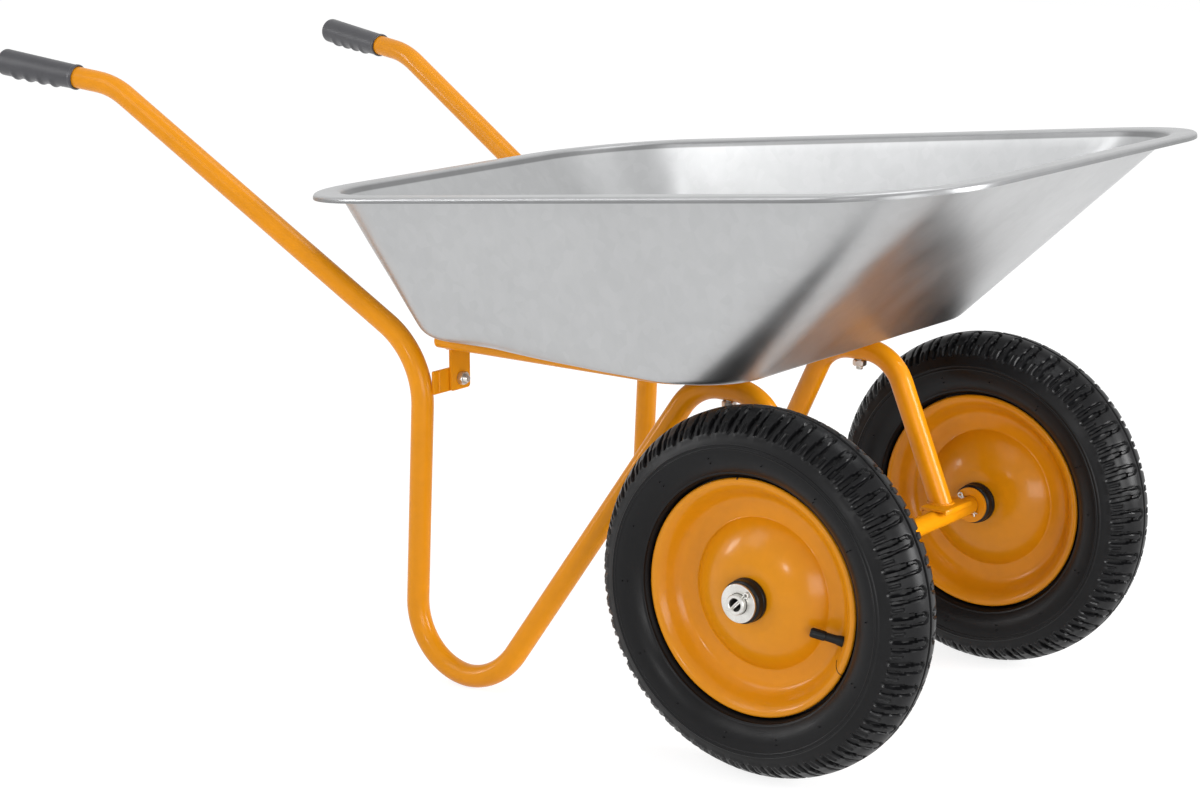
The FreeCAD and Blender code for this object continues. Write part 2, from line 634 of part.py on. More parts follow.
def build_tyre():
    crown = "tyre_diameter / 2"
    shoulder = f"{crown} - shoulder_drop"
    # The sidewall's arc swells to half the tyre's section midway between lip and shoulder.
    rise = f"(tyre_section / 2 - ({BEAD_HALF} + shoulder_half) / 2)"
    chord = f"(sqrt(({shoulder} - ({TYRE_LIP}))^2 + (shoulder_half - ({BEAD_HALF}))^2) / 2)"
    side_radius = f"({rise} / 2 + {chord}^2 / {rise} / 2)"
    crown_radius = "(shoulder_half^2 / shoulder_drop / 2 + shoulder_drop / 2)"
    outside = revolved("tyre_outside", [
        (BEAD, f"0 - ({BEAD_HALF})"), (TYRE_LIP, f"0 - ({BEAD_HALF})"),
        (shoulder, "0 - shoulder_half"), (shoulder, "shoulder_half"), (TYRE_LIP, BEAD_HALF),
        (BEAD, BEAD_HALF)], {1: (side_radius, 1), 2: (crown_radius, 1), 3: (side_radius, 1)})
    wheel_piece("tyre", cut("tyre", outside, revolved("tyre_cavity", *tyre_cavity("0"))))


def build_inner_tube():
    skin = revolved("inner_tube_skin", *tyre_cavity("tube_gap"))
    air = revolved("inner_tube_air", *tyre_cavity("tube_gap + inner_tube_wall"))
    wheel_piece("inner_tube", cut("inner_tube", skin, air))


def build_hub():
    hub_radius = "hub_diameter / 2"
    seat = "bearing_diameter / 2 + shaft_fit"
    hub = revolved("hub_tube", [
        (seat, "hub_half_length"), (hub_radius, "hub_half_length"),
        (hub_radius, "0 - hub_half_length"), (seat, "0 - hub_half_length"),
        (seat, f"0 - ({BEARING_IN}) + shaft_fit"),
        ("hub_bore_diameter / 2", f"0 - ({BEARING_IN}) + shaft_fit"),
        ("hub_bore_diameter / 2", f"{BEARING_IN} - shaft_fit"), (seat, f"{BEARING_IN} - shaft_fit")])
    wheel_piece("hub_tube", hub)
    outer = "bearing_diameter / 2"
    wheel_piece("bearing_outer_races", two_ends("outer_race", f"{outer} - race_thickness", outer,
                                                BEARING_IN, BEARING_OUT))
    balls = []
    count = int(value("ball_count"))
    for end, sign in (("out", 1), ("in", -1)):
        for i in range(count):
            ball = add("Part::Sphere", f"ball_{end}_{i + 1}", Radius="ball_diameter / 2")
            angle = 360 / count * i
            balls.append(at(ball, f"{BALL_CIRCLE} * cos({angle})",
                            f"{sign} * (({BEARING_OUT} + {BEARING_IN}) / 2)",
                            f"{BALL_CIRCLE} * sin({angle})"))
    wheel_piece("bearing_balls", group("bearing_balls", *balls))
    inner = "axle_diameter / 2 + shaft_fit"
    races = []
    for side in (1, -1):
        pair = two_ends(f"inner_race_{side}", inner, f"{BALL_CIRCLE} - ball_diameter / 2 - contact_gap",
                        BEARING_IN, BEARING_OUT)
        races.append(at(pair, "0", f"{side} * wheel_track / 2", AXLE_HEIGHT))
    node("bearing_inner_races", from_axle(group("bearing_inner_races", *races)))
    build_caps()


def build_caps():
    hole = "axle_diameter / 2 + cap_hole_gap"
    sleeve = "hub_diameter / 2 + shaft_fit"
    skin = "cap_diameter / 2"
    mouth = "dish_height + rim_sheet + contact_gap"
    caps = []
    for name, sign in (("out", ""), ("in", "0 - ")):
        caps.append(revolved(f"dust_cap_{name}", [
            (hole, f"{sign}(cap_reach - cap_wall)"), (sleeve, f"{sign}(cap_reach - cap_wall)"),
            (sleeve, f"{sign}({mouth})"), (skin, f"{sign}({mouth})"),
            (skin, f"{sign}cap_reach"), (hole, f"{sign}cap_reach")]))
    wheel_piece("dust_caps", group("dust_caps", *caps))


def build_wheels():
    build_tyre()
    build_inner_tube()
    build_rim()
    build_valve()
    build_hub()


# ---------------------------------------------------------------- tray

SLOPE_STRETCH = "sqrt(1 + rim_slope^2)"


def rounded_outline(body, name, rear, front, height, tilted=False):
    """A four-sided outline, symmetric about X, with round corners.  rear and front are each
    (x, half width, corner radius); a tilted one lies in the tray rim's sloping plane."""
    sketch = new_sketch(body, name, "XY_Plane")
    bind(sketch, AttachmentOffset__Base__z=height)
    stretch = "1"
    if tilted:
        bind(sketch, AttachmentOffset__Rotation__Pitch="-1 * atan(rim_slope)")
        stretch = SLOPE_STRETCH
    ends = [rear, front, front, rear]
    signs = [1, 1, -1, -1]
    spots = [(f"({end[0]}) * {stretch}", f"{sign} * ({end[1]})") for end, sign in zip(ends, signs)]
    corners = [FreeCAD.Vector(value(x), value(y), 0) for x, y in spots]
    radii = [value(end[2]) for end in ends]
    entries, exits, centres = [], [], []
    for i, corner in enumerate(corners):
        back = (corners[i - 1] - corner).normalize()
        ahead = (corners[(i + 1) % 4] - corner).normalize()
        half = back.getAngle(ahead) / 2
        entries.append(corner + back * (radii[i] / math.tan(half)))
        exits.append(corner + ahead * (radii[i] / math.tan(half)))
        centres.append(corner + (back + ahead).normalize() * (radii[i] / math.sin(half)))
    for i in range(4):
        sketch.addGeometry(Part.LineSegment(exits[i], entries[(i + 1) % 4]))
    for centre, radius, entry, leave in zip(centres, radii, entries, exits):
        first = math.atan2(leave.y - centre.y, leave.x - centre.x)
        last = math.atan2(entry.y - centre.y, entry.x - centre.x)
        last += 2 * math.pi * (last < first)
        circle = Part.Circle(centre, FreeCAD.Vector(0, 0, 1), radius)
        sketch.addGeometry(Part.ArcOfCircle(circle, first, last))
    for i in range(4):
        arc = 4 + i
        sketch.addConstraint(Sketcher.Constraint("Tangent", (i - 1) % 4, 2, arc, 2))
        sketch.addConstraint(Sketcher.Constraint("Tangent", arc, 1, i, 1))
        sketch.addConstraint(Sketcher.Constraint("Radius", arc, radii[i]))
        name_last(sketch, f"corner{i}_radius", ends[i][2])
        sketch.addGeometry(Part.Point(corners[i]), True)
        pin_point(sketch, 8 + i, 1, f"corner{i}_", *spots[i])
    for point, line in ((8, 0), (9, 0), (9, 1), (10, 1), (10, 2), (11, 2), (11, 3), (8, 3)):
        sketch.addConstraint(Sketcher.Constraint("PointOnObject", point, 1, line))
    return sketch


def fillet_level(floor_end, wall_end, outward, base, radius, angle):
    """An end of the outline where the rounding between floor and walls has turned by an angle.
    Each wall leans by its own slope, so each one leaves the rounding where its slope is met."""
    floor_x, floor_half, floor_corner = floor_end
    wall_x, wall_half, wall_corner = wall_end
    rise = f"(rim_height + rim_slope * ({wall_x}) - ({base}))"

    def advance(run):
        lean = f"atan2({rise}; {run})"
        held = f"min({angle}; {lean})"
        return f"{radius} * (sin({held}) - tan({lean} / 2) + (cos({held}) - cos({angle})) * {run} / {rise})"

    end_run = f"({outward} * (({wall_x}) - ({floor_x})))"
    side_run = f"(({wall_half}) - ({floor_half}))"
    corner_run = f"(({wall_corner}) - ({floor_corner}))"
    height = f"{radius} * (1 - cos({angle}))"
    inset_now = f"({height} * {end_run} / {rise} - {advance(end_run)})"
    return (f"({floor_x}) + {outward} * {advance(end_run)}", f"({floor_half}) + {advance(side_run)}",
            f"({floor_corner}) + {height} * {corner_run} / {rise} - {inset_now}")


def lofted(name, floor_ends, wall_ends, base, radius):
    """A tub from the floor up to the rim's sloping plane.  The rounding at the floor's edge is a
    few level outlines along its arc."""
    body = doc.addObject("PartDesign::Body", name)
    steps = int(value("fillet_steps"))
    outlines = []
    for i in range(steps + 1):
        angle = f"(fillet_turn * {i} / fillet_steps * 1 deg)"
        ends = [fillet_level(*pair, outward, base, radius, angle)
                for pair, outward in zip(zip(floor_ends, wall_ends), (-1, 1))]
        height = f"{base} + {radius} * (1 - cos({angle}))"
        outlines.append(rounded_outline(body, f"{name}_level_{i}", *ends, height))
    outlines.append(rounded_outline(body, name + "_rim", *wall_ends, "rim_height", tilted=True))
    loft = body.newObject("PartDesign::AdditiveLoft", name + "_loft")
    loft.Profile = outlines[0]
    loft.Sections = outlines[1:]
    loft.Ruled = True
    return body


def plate(name, rear, front, depth, height):
    """A flat plate of the rim's outline that hangs down from the rim's sloping plane."""
    body = doc.addObject("PartDesign::Body", name)
    sketch = rounded_outline(body, name + "_outline", rear, front, height, tilted=True)
    pad = body.newObject("PartDesign::Pad", name + "_pad")
    pad.Profile = sketch
    pad.Reversed = True
    bind(pad, Length=depth)
    return body


def inset(end, amount):
    """An outline's end drawn in by an amount; its x grows for the rear end, shrinks in front."""
    x, half, radius = end
    toward = "+" if "rear" in x else "-"
    return (f"{x} {toward} {amount}", f"{half} - {amount}", f"{radius} - {amount}")


def build_tray():
    lip_rear = ("tray_rear_x", "lip_rear_half", "lip_rear_radius")
    lip_front = ("nose_reach", "lip_front_half", "lip_front_radius")
    wall_rear = ("tray_rear_x + flange_width", "lip_rear_half - flange_width", "wall_rear_radius")
    wall_front = ("nose_reach - flange_width", "lip_front_half - flange_width", "wall_front_radius")
    floor_rear = ("floor_rear_x", "floor_rear_half", "floor_rear_radius")
    floor_front = ("floor_front_x", "floor_front_half", "floor_front_radius")
    sheet_in = "tray_sheet"
    floor_ends = (floor_rear, floor_front)
    wall_ends = (wall_rear, wall_front)
    outside = lofted("tray_outside", floor_ends, wall_ends, "floor_height", "floor_fillet")
    inside = lofted("tray_inside", [inset(end, sheet_in) for end in floor_ends],
                    [inset(end, sheet_in) for end in wall_ends], "floor_height + tray_sheet",
                    "(floor_fillet - tray_sheet)")
    lip = plate("tray_lip", lip_rear, lip_front, "lip_drop", "rim_height")
    under = plate("tray_lip_under", inset(lip_rear, sheet_in), inset(lip_front, sheet_in),
                  "lip_drop * 2", "rim_height - tray_sheet")
    shell = cut("tray_shell", fuse("tray_with_lip", outside, cut("tray_flange", lip, under)), inside)
    holes = []
    for name, x, y in (("front", "hoop_front_x", "top_run_spread"),
                       ("rear", "cross_tube_x", "rear_bolt_spread")):
        for side in (1, -1):
            holes.append(cylinder(f"tray_hole_{name}_{side}", HOLE, "tray_sheet * 3", x,
                                  f"{side} * {y}", "floor_height - tray_sheet"))
    node("tray", from_axle(cut("tray", shell, group("tray_holes", *holes))))


# ---------------------------------------------------------------- main

def write_nodes():
    doc.recompute()
    failed = [item.Name + ": " + item.getStatusString() for item in doc.Objects
              if {"Invalid", "Error"} & set(item.State)]
    if failed:
        raise RuntimeError("failed objects: " + "; ".join(failed))
    for item in nodes:
        if item.Shape.isNull() or not item.Shape.isValid() or not item.Shape.Solids:
            raise RuntimeError("bad shape: " + item.Label)
    for item in nodes:
        item.Shape.exportStep(f"parts/{item.Label}.step")
    print(len(nodes), "nodes written")


build_frame()
build_grips()
build_support()
build_straps()
build_tray_bolts()
build_strap_bolts()
build_axle()
build_saddles()
build_wheels()
build_tray()
write_nodes()
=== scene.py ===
import bisect
import math
import random

import bmesh
import bpy
from mathutils import Matrix, Vector, noise


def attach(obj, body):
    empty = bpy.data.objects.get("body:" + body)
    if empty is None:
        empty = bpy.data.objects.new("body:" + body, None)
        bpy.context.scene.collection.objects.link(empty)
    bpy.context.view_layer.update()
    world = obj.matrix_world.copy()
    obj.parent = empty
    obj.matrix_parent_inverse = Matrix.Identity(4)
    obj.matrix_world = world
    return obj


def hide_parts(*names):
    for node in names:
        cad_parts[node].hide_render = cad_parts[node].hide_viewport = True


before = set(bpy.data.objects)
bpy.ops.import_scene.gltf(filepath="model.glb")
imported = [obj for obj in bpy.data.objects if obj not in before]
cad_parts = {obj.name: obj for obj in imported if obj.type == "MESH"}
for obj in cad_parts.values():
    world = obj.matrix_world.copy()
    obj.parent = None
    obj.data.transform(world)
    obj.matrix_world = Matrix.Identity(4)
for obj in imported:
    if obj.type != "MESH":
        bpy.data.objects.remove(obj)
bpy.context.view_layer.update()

random.seed(11)
scene = bpy.context.scene

# Lengths are in millimetres in the row frame until a mesh is made.
MM = 0.001
SIDES = {"left": 1, "right": -1}
TURN = math.tau

# Axle
AXLE_X, AXLE_Z, TRACK_HALF = 398.0, 182.0, 220.0
AXLE_RADIUS, AXLE_BORE, AXLE_HALF, PAINTED_HALF = 10.0, 6.5, 271.0, 175.0

# Tray.  The rim's upper face rises with x, and RIM_HEIGHT is its height at the axle's x.
FLOOR_Z, SHEET, FLOOR_ROUNDING, LIP_DROP = 377.0, 1.5, 26.0, 6.0
RIM_HEIGHT, RIM_SLOPE = 572.75, 0.096
FLOOR = dict(rear=-51, front=364, rear_half=229, front_half=250, rear_radius=60, front_radius=68)
WALL = dict(rear=-163, front=592, rear_half=270, front_half=293, rear_radius=122, front_radius=96)
LIP = dict(rear=-187, front=616, rear_half=294, front_half=317, rear_radius=143, front_radius=123)

# Side frame tubes.  The two grip points are the left side's.  The arch's front run is straight,
# from ARCH_FRONT down to FRONT_FOOT on the saddle, both as (x, z).
FRAME_RADIUS, ARCH_SPREAD = 12.0, 123
GRIP_END, GRIP_BEND = (-612, 268, 631), (-460, 243, 612)
ARCH_FRONT, FRONT_FOOT = (328, 348.5), (392.5, 193.8)
FRONT_SLOPE = (FRONT_FOOT[0] - ARCH_FRONT[0]) / (ARCH_FRONT[1] - FRONT_FOOT[1])
SADDLE_TOP, TUBE_CUT = 195.2, 194.6

# Tray support
RAIL_SPREAD, RAIL_Z, RAIL_RADIUS = 190, 368.7, 8.0
RAIL_REAR, CROSS_X, HOOP_FRONT = -34, -24, 288

# Straps, as flat bars across X, and their bolts.
STRAP_THICKNESS, HANGING_STRAP_X, LEG_STRAP_X = 3.0, -35.2, -38.4
STRAP_INNER, STRAP_LOW = 142.5, 310.5
STRAP_BOLT_Y, STRAP_BOLT_Z = 158, 323

# M8 fasteners
FLATS, THREAD_RADIUS, THREAD_PITCH = 13.0, 4.0, 1.25
HEAD_HEIGHT, NUT_HEIGHT, SHANK_RADIUS, BOLT_PAST_NUT = 5.3, 6.5, 3.9, 4.0


# ---------------------------------------------------------------- materials

def put(tree, kind, settings=None, **inputs):
    """A shader node; an input is a value or another node's output."""
    made = tree.nodes.new(kind)
    for key, setting in (settings or {}).items():
        setattr(made, key, setting)
    for key, given in inputs.items():
        socket = made.inputs[key.replace("_", " ")]
        if isinstance(given, bpy.types.NodeSocket):
            tree.links.new(given, socket)
        else:
            socket.default_value = given
    return made


def ramp(tree, value, start, end, low, high):
    """low up to the value start, high from the value end, and a straight change between them."""
    return put(tree, "ShaderNodeMapRange", Value=value, From_Min=start, From_Max=end,
               To_Min=low, To_Max=high).outputs["Result"]


def clouds(tree, where, scale, low, high, detail=4.0):
    """Soft random change between two values."""
    made = put(tree, "ShaderNodeTexNoise", Vector=where, Scale=scale, Detail=detail)
    return ramp(tree, made.outputs["Fac"], 0.3, 0.7, low, high)


def times(tree, colour, *factors):
    """A colour made lighter or darker by each factor in turn."""
    for factor in factors:
        made = put(tree, "ShaderNodeVectorMath", {"operation": "SCALE"}, Scale=factor)
        if isinstance(colour, bpy.types.NodeSocket):
            tree.links.new(colour, made.inputs[0])
        else:
            made.inputs[0].default_value = colour[:3]
        colour = made.outputs[0]
    return colour


def surface(name, colour, rough, metallic=0.0, coat=0.0, gloss=0.5, patch=(9.0, 0.06),
            rough_change=0.05, ripple=(30.0, 0.04), grain=(900.0, 0.03), stretch=(1, 1, 1)):
    """A procedural finish.  patch is the scale and depth of its colour change, and ripple and
    grain are the scale and strength of its broad and fine relief."""
    speck_scale, rough_scale = 14, 2.3
    material = bpy.data.materials.new(name)
    material.use_nodes = True
    tree = material.node_tree
    shader = tree.nodes["Principled BSDF"]
    place = put(tree, "ShaderNodeTexCoord").outputs["Object"]
    where = put(tree, "ShaderNodeMapping", Vector=place, Scale=stretch).outputs["Vector"]
    lighter = clouds(tree, where, patch[0], 1 - patch[1], 1 + patch[1])
    specks = clouds(tree, where, patch[0] * speck_scale, 1 - patch[1] * 0.5, 1 + patch[1] * 0.5, 2.0)
    tree.links.new(times(tree, colour, lighter, specks), shader.inputs["Base Color"])
    worn = clouds(tree, where, patch[0] * rough_scale, rough - rough_change, rough + rough_change)
    tree.links.new(worn, shader.inputs["Roughness"])
    broad = put(tree, "ShaderNodeTexNoise", Vector=where, Scale=ripple[0], Detail=2.0)
    fine = put(tree, "ShaderNodeTexNoise", Vector=place, Scale=grain[0], Detail=2.0)
    relief = put(tree, "ShaderNodeBump", Height=broad.outputs["Fac"], Strength=ripple[1],
                 Distance=0.002)
    relief = put(tree, "ShaderNodeBump", Height=fine.outputs["Fac"], Strength=grain[1],
                 Distance=0.0004, Normal=relief.outputs["Normal"])
    tree.links.new(relief.outputs["Normal"], shader.inputs["Normal"])
    shader.inputs["Metallic"].default_value = metallic
    shader.inputs["Specular IOR Level"].default_value = gloss
    shader.inputs["Coat Weight"].default_value = coat
    shader.inputs["Coat Roughness"].default_value = 0.18
    return material


def larger(tree, first, second):
    made = put(tree, "ShaderNodeMath", {"operation": "MAXIMUM"})
    tree.links.new(first, made.inputs[0])
    tree.links.new(second, made.inputs[1])
    return made.outputs[0]


def painted_shade_under_rim(tree, place):
    """Painted dark reflection on the turned-down edge and painted shade on the top few millimetres of the
    walls: half tone in a band just under the rim, and full tone elsewhere."""
    # Levels of planes that slope with the rim, as their heights at x = 0.
    bottom_start, bottom_end, top_start, top_end = (level * MM for level in (526.2, 527.4, 531.4, 533.6))
    lift = put(tree, "ShaderNodeVectorMath", {"operation": "DOT_PRODUCT"}, Vector=place)
    lift.inputs[1].default_value = (-RIM_SLOPE, 0, 1)
    lift = lift.outputs["Value"]
    return larger(tree, ramp(tree, lift, top_start, top_end, 0.5, 1.0),
                  ramp(tree, lift, bottom_start, bottom_end, 1.0, 0.5))


def galvanised():
    """Zinc-coated sheet: a satin mirror with faint crystals and soft cloudy smudges."""
    material = surface("galvanised_sheet", (0.445, 0.45, 0.455), 0.37, metallic=1.0,
                       patch=(4.0, 0.035), ripple=(9.0, 0.07), grain=(700.0, 0.03),
                       stretch=(1, 1, 0.55))
    tree = material.node_tree
    shader = tree.nodes["Principled BSDF"]
    place = put(tree, "ShaderNodeTexCoord").outputs["Object"]
    crystal = put(tree, "ShaderNodeTexVoronoi", Vector=place, Scale=95.0)
    tone = put(tree, "ShaderNodeSeparateColor", Color=crystal.outputs["Color"]).outputs["Red"]
    flake = ramp(tree, tone, 0, 1, 0.975, 1.02)
    before = shader.inputs["Base Color"].links[0].from_socket
    # The base colour is halved in the band under the rim: painted dark reflection and painted shade.
    tree.links.new(times(tree, before, flake, painted_shade_under_rim(tree, place)), shader.inputs["Base Color"])
    return material


MATERIALS = {
    "galvanised_sheet": galvanised(),
    "frame_paint": surface("frame_paint", (0.66, 0.243, 0.003), 0.34, coat=0.25, gloss=0.08,
                           patch=(6.0, 0.05), ripple=(60.0, 0.03), grain=(1300.0, 0.015)),
    "rim_paint": surface("rim_paint", (0.585, 0.214, 0.0025), 0.32, coat=0.35, gloss=0.08,
                         patch=(7.0, 0.05), ripple=(40.0, 0.06), grain=(1300.0, 0.015)),
    "grip_plastic": surface("grip_plastic", (0.042, 0.042, 0.048), 0.36,
                            patch=(20.0, 0.12), grain=(1600.0, 0.25)),
    "cap_plastic": surface("cap_plastic", (0.005, 0.0055, 0.006), 0.30, gloss=0.2,
                           patch=(40.0, 0.15), grain=(1500.0, 0.12)),
    "tyre_rubber": surface("tyre_rubber", (0.004, 0.004, 0.0045), 0.36, gloss=0.18,
                           patch=(12.0, 0.22), ripple=(70.0, 0.08), grain=(1500.0, 0.10)),
    "tube_rubber": surface("tube_rubber", (0.006, 0.006, 0.0065), 0.45, gloss=0.2, patch=(14.0, 0.15),
                           grain=(1200.0, 0.15)),
    "zinc_fasteners": surface("zinc_fasteners", (0.62, 0.61, 0.58), 0.34, metallic=1.0,
                              patch=(50.0, 0.12), rough_change=0.08, ripple=(120.0, 0.12)),
    "bearing_steel": surface("bearing_steel", (0.60, 0.60, 0.61), 0.18, metallic=1.0,
                             patch=(60.0, 0.05)),
}
# Nodes of the solid model that show as they are.
NODE_SLOTS = {
    "bearing_inner_races": "bearing_steel", "bearing_outer_races": "bearing_steel",
    "bearing_balls": "bearing_steel", "hub_tube": "rim_paint", "inner_tube": "tube_rubber",
}


# ---------------------------------------------------------------- shapes

class Shape:
    """Points, in millimetres, and the faces between them."""

    def __init__(self):
        self.points, self.faces = [], []

    def rows(self, rows, start_cap=False, end_cap=False):
        """Quads between neighbouring closed rows of equally many points."""
        first, width = len(self.points), len(rows[0])
        for row in rows:
            self.points.extend(tuple(p) for p in row)
        for j in range(len(rows) - 1):
            for i in range(width):
                here, there = first + j * width, (i + 1) % width
                self.faces.append((here + i, here + there, here + width + there, here + width + i))
        if start_cap:
            self.faces.append(tuple(first + i for i in reversed(range(width))))
        if end_cap:
            last = first + (len(rows) - 1) * width
            self.faces.append(tuple(last + i for i in range(width)))
        return self

    def piece(self, name, body, slot, *replaced, sharp=38):
        """The finished mesh object, riding on its body."""
        mesh = bpy.data.meshes.new(name)
        mesh.from_pydata([Vector(p) * MM for p in self.points], [], self.faces)
        tidy = bmesh.new()
        tidy.from_mesh(mesh)
        bmesh.ops.remove_doubles(tidy, verts=tidy.verts, dist=2e-6)
        bmesh.ops.recalc_face_normals(tidy, faces=tidy.faces)
        tidy.to_mesh(mesh)
        tidy.free()
        mesh.polygons.foreach_set("use_smooth", [True] * len(mesh.polygons))
        mesh.set_sharp_from_angle(angle=math.radians(sharp))
        mesh.materials.append(MATERIALS[slot])
        made = bpy.data.objects.new(name, mesh)
        scene.collection.objects.link(made)
        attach(made, body)
        if replaced:
            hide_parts(*replaced)
        return made


def between(a, b, t):
    return tuple(p + (q - p) * t for p, q in zip(a, b))


def curve(a, corner, b, steps):
    """Points on a smooth turn from a to b past a corner."""
    return [between(between(a, corner, i / steps), between(corner, b, i / steps), i / steps)
            for i in range(steps + 1)]


def soften(points, reach, steps=4, closed=False):
    """The line with every corner turned smoothly over the reach on both sides of it."""
    count, line = len(points), []
    for i, here in enumerate(points):
        if not closed and i in (0, count - 1):
            line.append(here)
            continue
        back, on = points[i - 1], points[(i + 1) % count]
        cut_back = min(reach, 0.45 * math.dist(back, here)) / math.dist(back, here)
        cut_on = min(reach, 0.45 * math.dist(here, on)) / math.dist(here, on)
        line += curve(between(here, back, cut_back), here, between(here, on, cut_on), steps)
    return line


def bow(a, b, radius):
    """The arc from a to b in a plane.  It bulges to the left for a positive radius."""
    steps = 20
    half = math.dist(a, b) / 2
    side = math.copysign(1, radius)
    radius = abs(radius)
    along = Vector((b[0] - a[0], b[1] - a[1])).normalized()
    out = Vector((-along.y, along.x)) * side
    middle = Vector(between(a, b, 0.5)) - out * math.sqrt(radius ** 2 - half ** 2)
    reach = math.asin(half / radius)
    return [tuple(middle + along * radius * math.sin(t) + out * radius * math.cos(t))
            for t in (reach * (2 * i / steps - 1) for i in range(steps + 1))]


def smooth_line(points, steps):
    """A smooth line through the points."""
    line = []
    for i in range(len(points) - 1):
        p0, p1, p2 = points[max(i - 1, 0)], points[i], points[i + 1]
        p3 = points[min(i + 2, len(points) - 1)]
        for k in range(steps):
            t = k / steps
            line.append(tuple(
                0.5 * (2 * b + (c - a) * t + (2 * a - 5 * b + 4 * c - d) * t * t
                       + (3 * b - a - 3 * c + d) * t ** 3)
                for a, b, c, d in zip(p0, p1, p2, p3)))
    return line + [points[-1]]


def across(axis):
    """Two directions square to an axis and to each other."""
    axis = Vector(axis).normalized()
    first = axis.cross((0, 0, 1) if abs(axis.z) < 0.9 else (1, 0, 0)).normalized()
    return first, axis.cross(first)


def turned(shape, origin, axis, profile, steps=48, change=None, caps=False):
    """A shape turned round an axis from (radius, distance along) points."""
    u, v = across(axis)
    axis, origin = Vector(axis).normalized(), Vector(origin)
    rows = []
    for radius, along in profile:
        row = []
        for i in range(steps):
            angle = TURN * i / steps
            r = change(radius, along, angle) if change else radius
            row.append(origin + axis * along + (u * math.cos(angle) + v * math.sin(angle)) * r)
        rows.append(row)
    return shape.rows(rows, start_cap=caps, end_cap=caps)


def tube(shape, path, radius, steps, change=None):
    """A round bar along a path.  change gives the radius at each step of the path."""
    path = [Vector(p) for p in path]
    heading = (path[1] - path[0]).normalized()
    side = across(heading)[0]
    rows = []
    for i, here in enumerate(path):
        ahead = path[min(i + 1, len(path) - 1)] - path[max(i - 1, 0)]
        heading = ahead.normalized()
        side = (side - heading * side.dot(heading)).normalized()
        other = heading.cross(side)
        r = change(i) if change else radius
        rows.append([here + (side * math.cos(TURN * k / steps) + other * math.sin(TURN * k / steps)) * r
                     for k in range(steps)])
    return shape.rows(rows, start_cap=True, end_cap=True)


def bent(points, radii):
    """A path with a true arc of the given radius at each inner corner."""
    step = 3.0
    points = [Vector(p) for p in points]
    path = [points[0]]
    for i in range(1, len(points) - 1):
        corner = points[i]
        back, on = (points[i - 1] - corner).normalized(), (points[i + 1] - corner).normalized()
        half = back.angle(on) / 2
        reach = radii[i - 1] / math.tan(half)
        middle = corner + (back + on).normalized() * radii[i - 1] / math.sin(half)
        start, end = corner + back * reach - middle, corner + on * reach - middle
        turn = start.rotation_difference(end)
        count = max(3, int(radii[i - 1] * turn.angle / step))
        for k in range(count + 1):
            partial = Matrix.Rotation(turn.angle * k / count, 3, turn.axis)
            path.append(middle + partial @ start)
    return path + [points[-1]]


def weld(shape, line, radius):
    """A welded bead along a line, with the small waves that the weld pool leaves."""
    step = 0.7
    line = [Vector(p) for p in line]
    path = []
    for a, b in zip(line, line[1:]):
        count = max(1, round((b - a).length / step))
        path += [a.lerp(b, k / count) for k in range(count)]
    path.append(line[-1])
    tube(shape, path, radius, 10,
         lambda i: radius * (0.82 + 0.2 * abs(math.sin(i * 0.75)) + 0.06 * noise.noise((i * 0.3, 0, 0))))


def hexagon(shape, origin, axis, height, bore=0):
    """A bolt's head, with its corners turned down at the outer face.  With a bore it is a nut,
    with them turned down at both faces."""
    crown, corner = FLATS / 2 * 0.98, FLATS / 2 / math.cos(TURN / 12)
    chamfer, edge, bore_rim, bore_edge, dimple, dimple_radius = 1.1, 0.05, 0.7, 0.6, 0.35, 2.0
    angles = [TURN * i / 72 for i in range(72)]
    sides = [FLATS / 2 / math.cos((a % (TURN / 6)) - TURN / 12) for a in angles]
    drops = [max(0.0, r - crown) / (corner - crown) * chamfer + edge for r in sides]

    def circle(radius, along):
        return [(radius, along)] * len(angles)

    if bore:
        levels = [circle(bore, bore_edge), circle(bore + bore_rim, 0), circle(crown, 0),
                  list(zip(sides, drops))]
    else:
        levels = [[(r, 0) for r in sides]]
    levels += [[(r, height - drop) for r, drop in zip(sides, drops)], circle(crown, height)]
    if bore:
        levels += [circle(bore + bore_rim, height), circle(bore, height - bore_edge)]
    else:
        levels.append(circle(dimple_radius, height - dimple))
    u, v = across(axis)
    axis, origin = Vector(axis).normalized(), Vector(origin)
    rows = [[origin + axis * along + (u * math.cos(a) + v * math.sin(a)) * r
             for a, (r, along) in zip(angles, places)] for places in levels]
    return shape.rows(rows, start_cap=not bore, end_cap=not bore)


def thread(shape, origin, axis):
    """A bolt's threaded end, through its nut and a little past it, with a chamfer at its tip."""
    depth, tip, chamfer = 0.62, 1.0, 0.9
    length = NUT_HEIGHT + BOLT_PAST_NUT
    rows = int(length / (THREAD_PITCH / 6))

    def cut(radius, along, angle):
        wave = (along / THREAD_PITCH - angle / TURN) % 1.0
        crest = radius - depth * abs(2 * wave - 1)
        left = length - along
        return min(crest, radius - chamfer + left) if left < tip else crest

    profile = [(THREAD_RADIUS, length * i / rows) for i in range(rows + 1)]
    return turned(shape, origin, axis, profile, 36, cut, caps=True)


# ---------------------------------------------------------------- tray

def rim_plane(x):
    """Height of the rim's lower face."""
    return RIM_HEIGHT + RIM_SLOPE * (x - AXLE_X) - SHEET


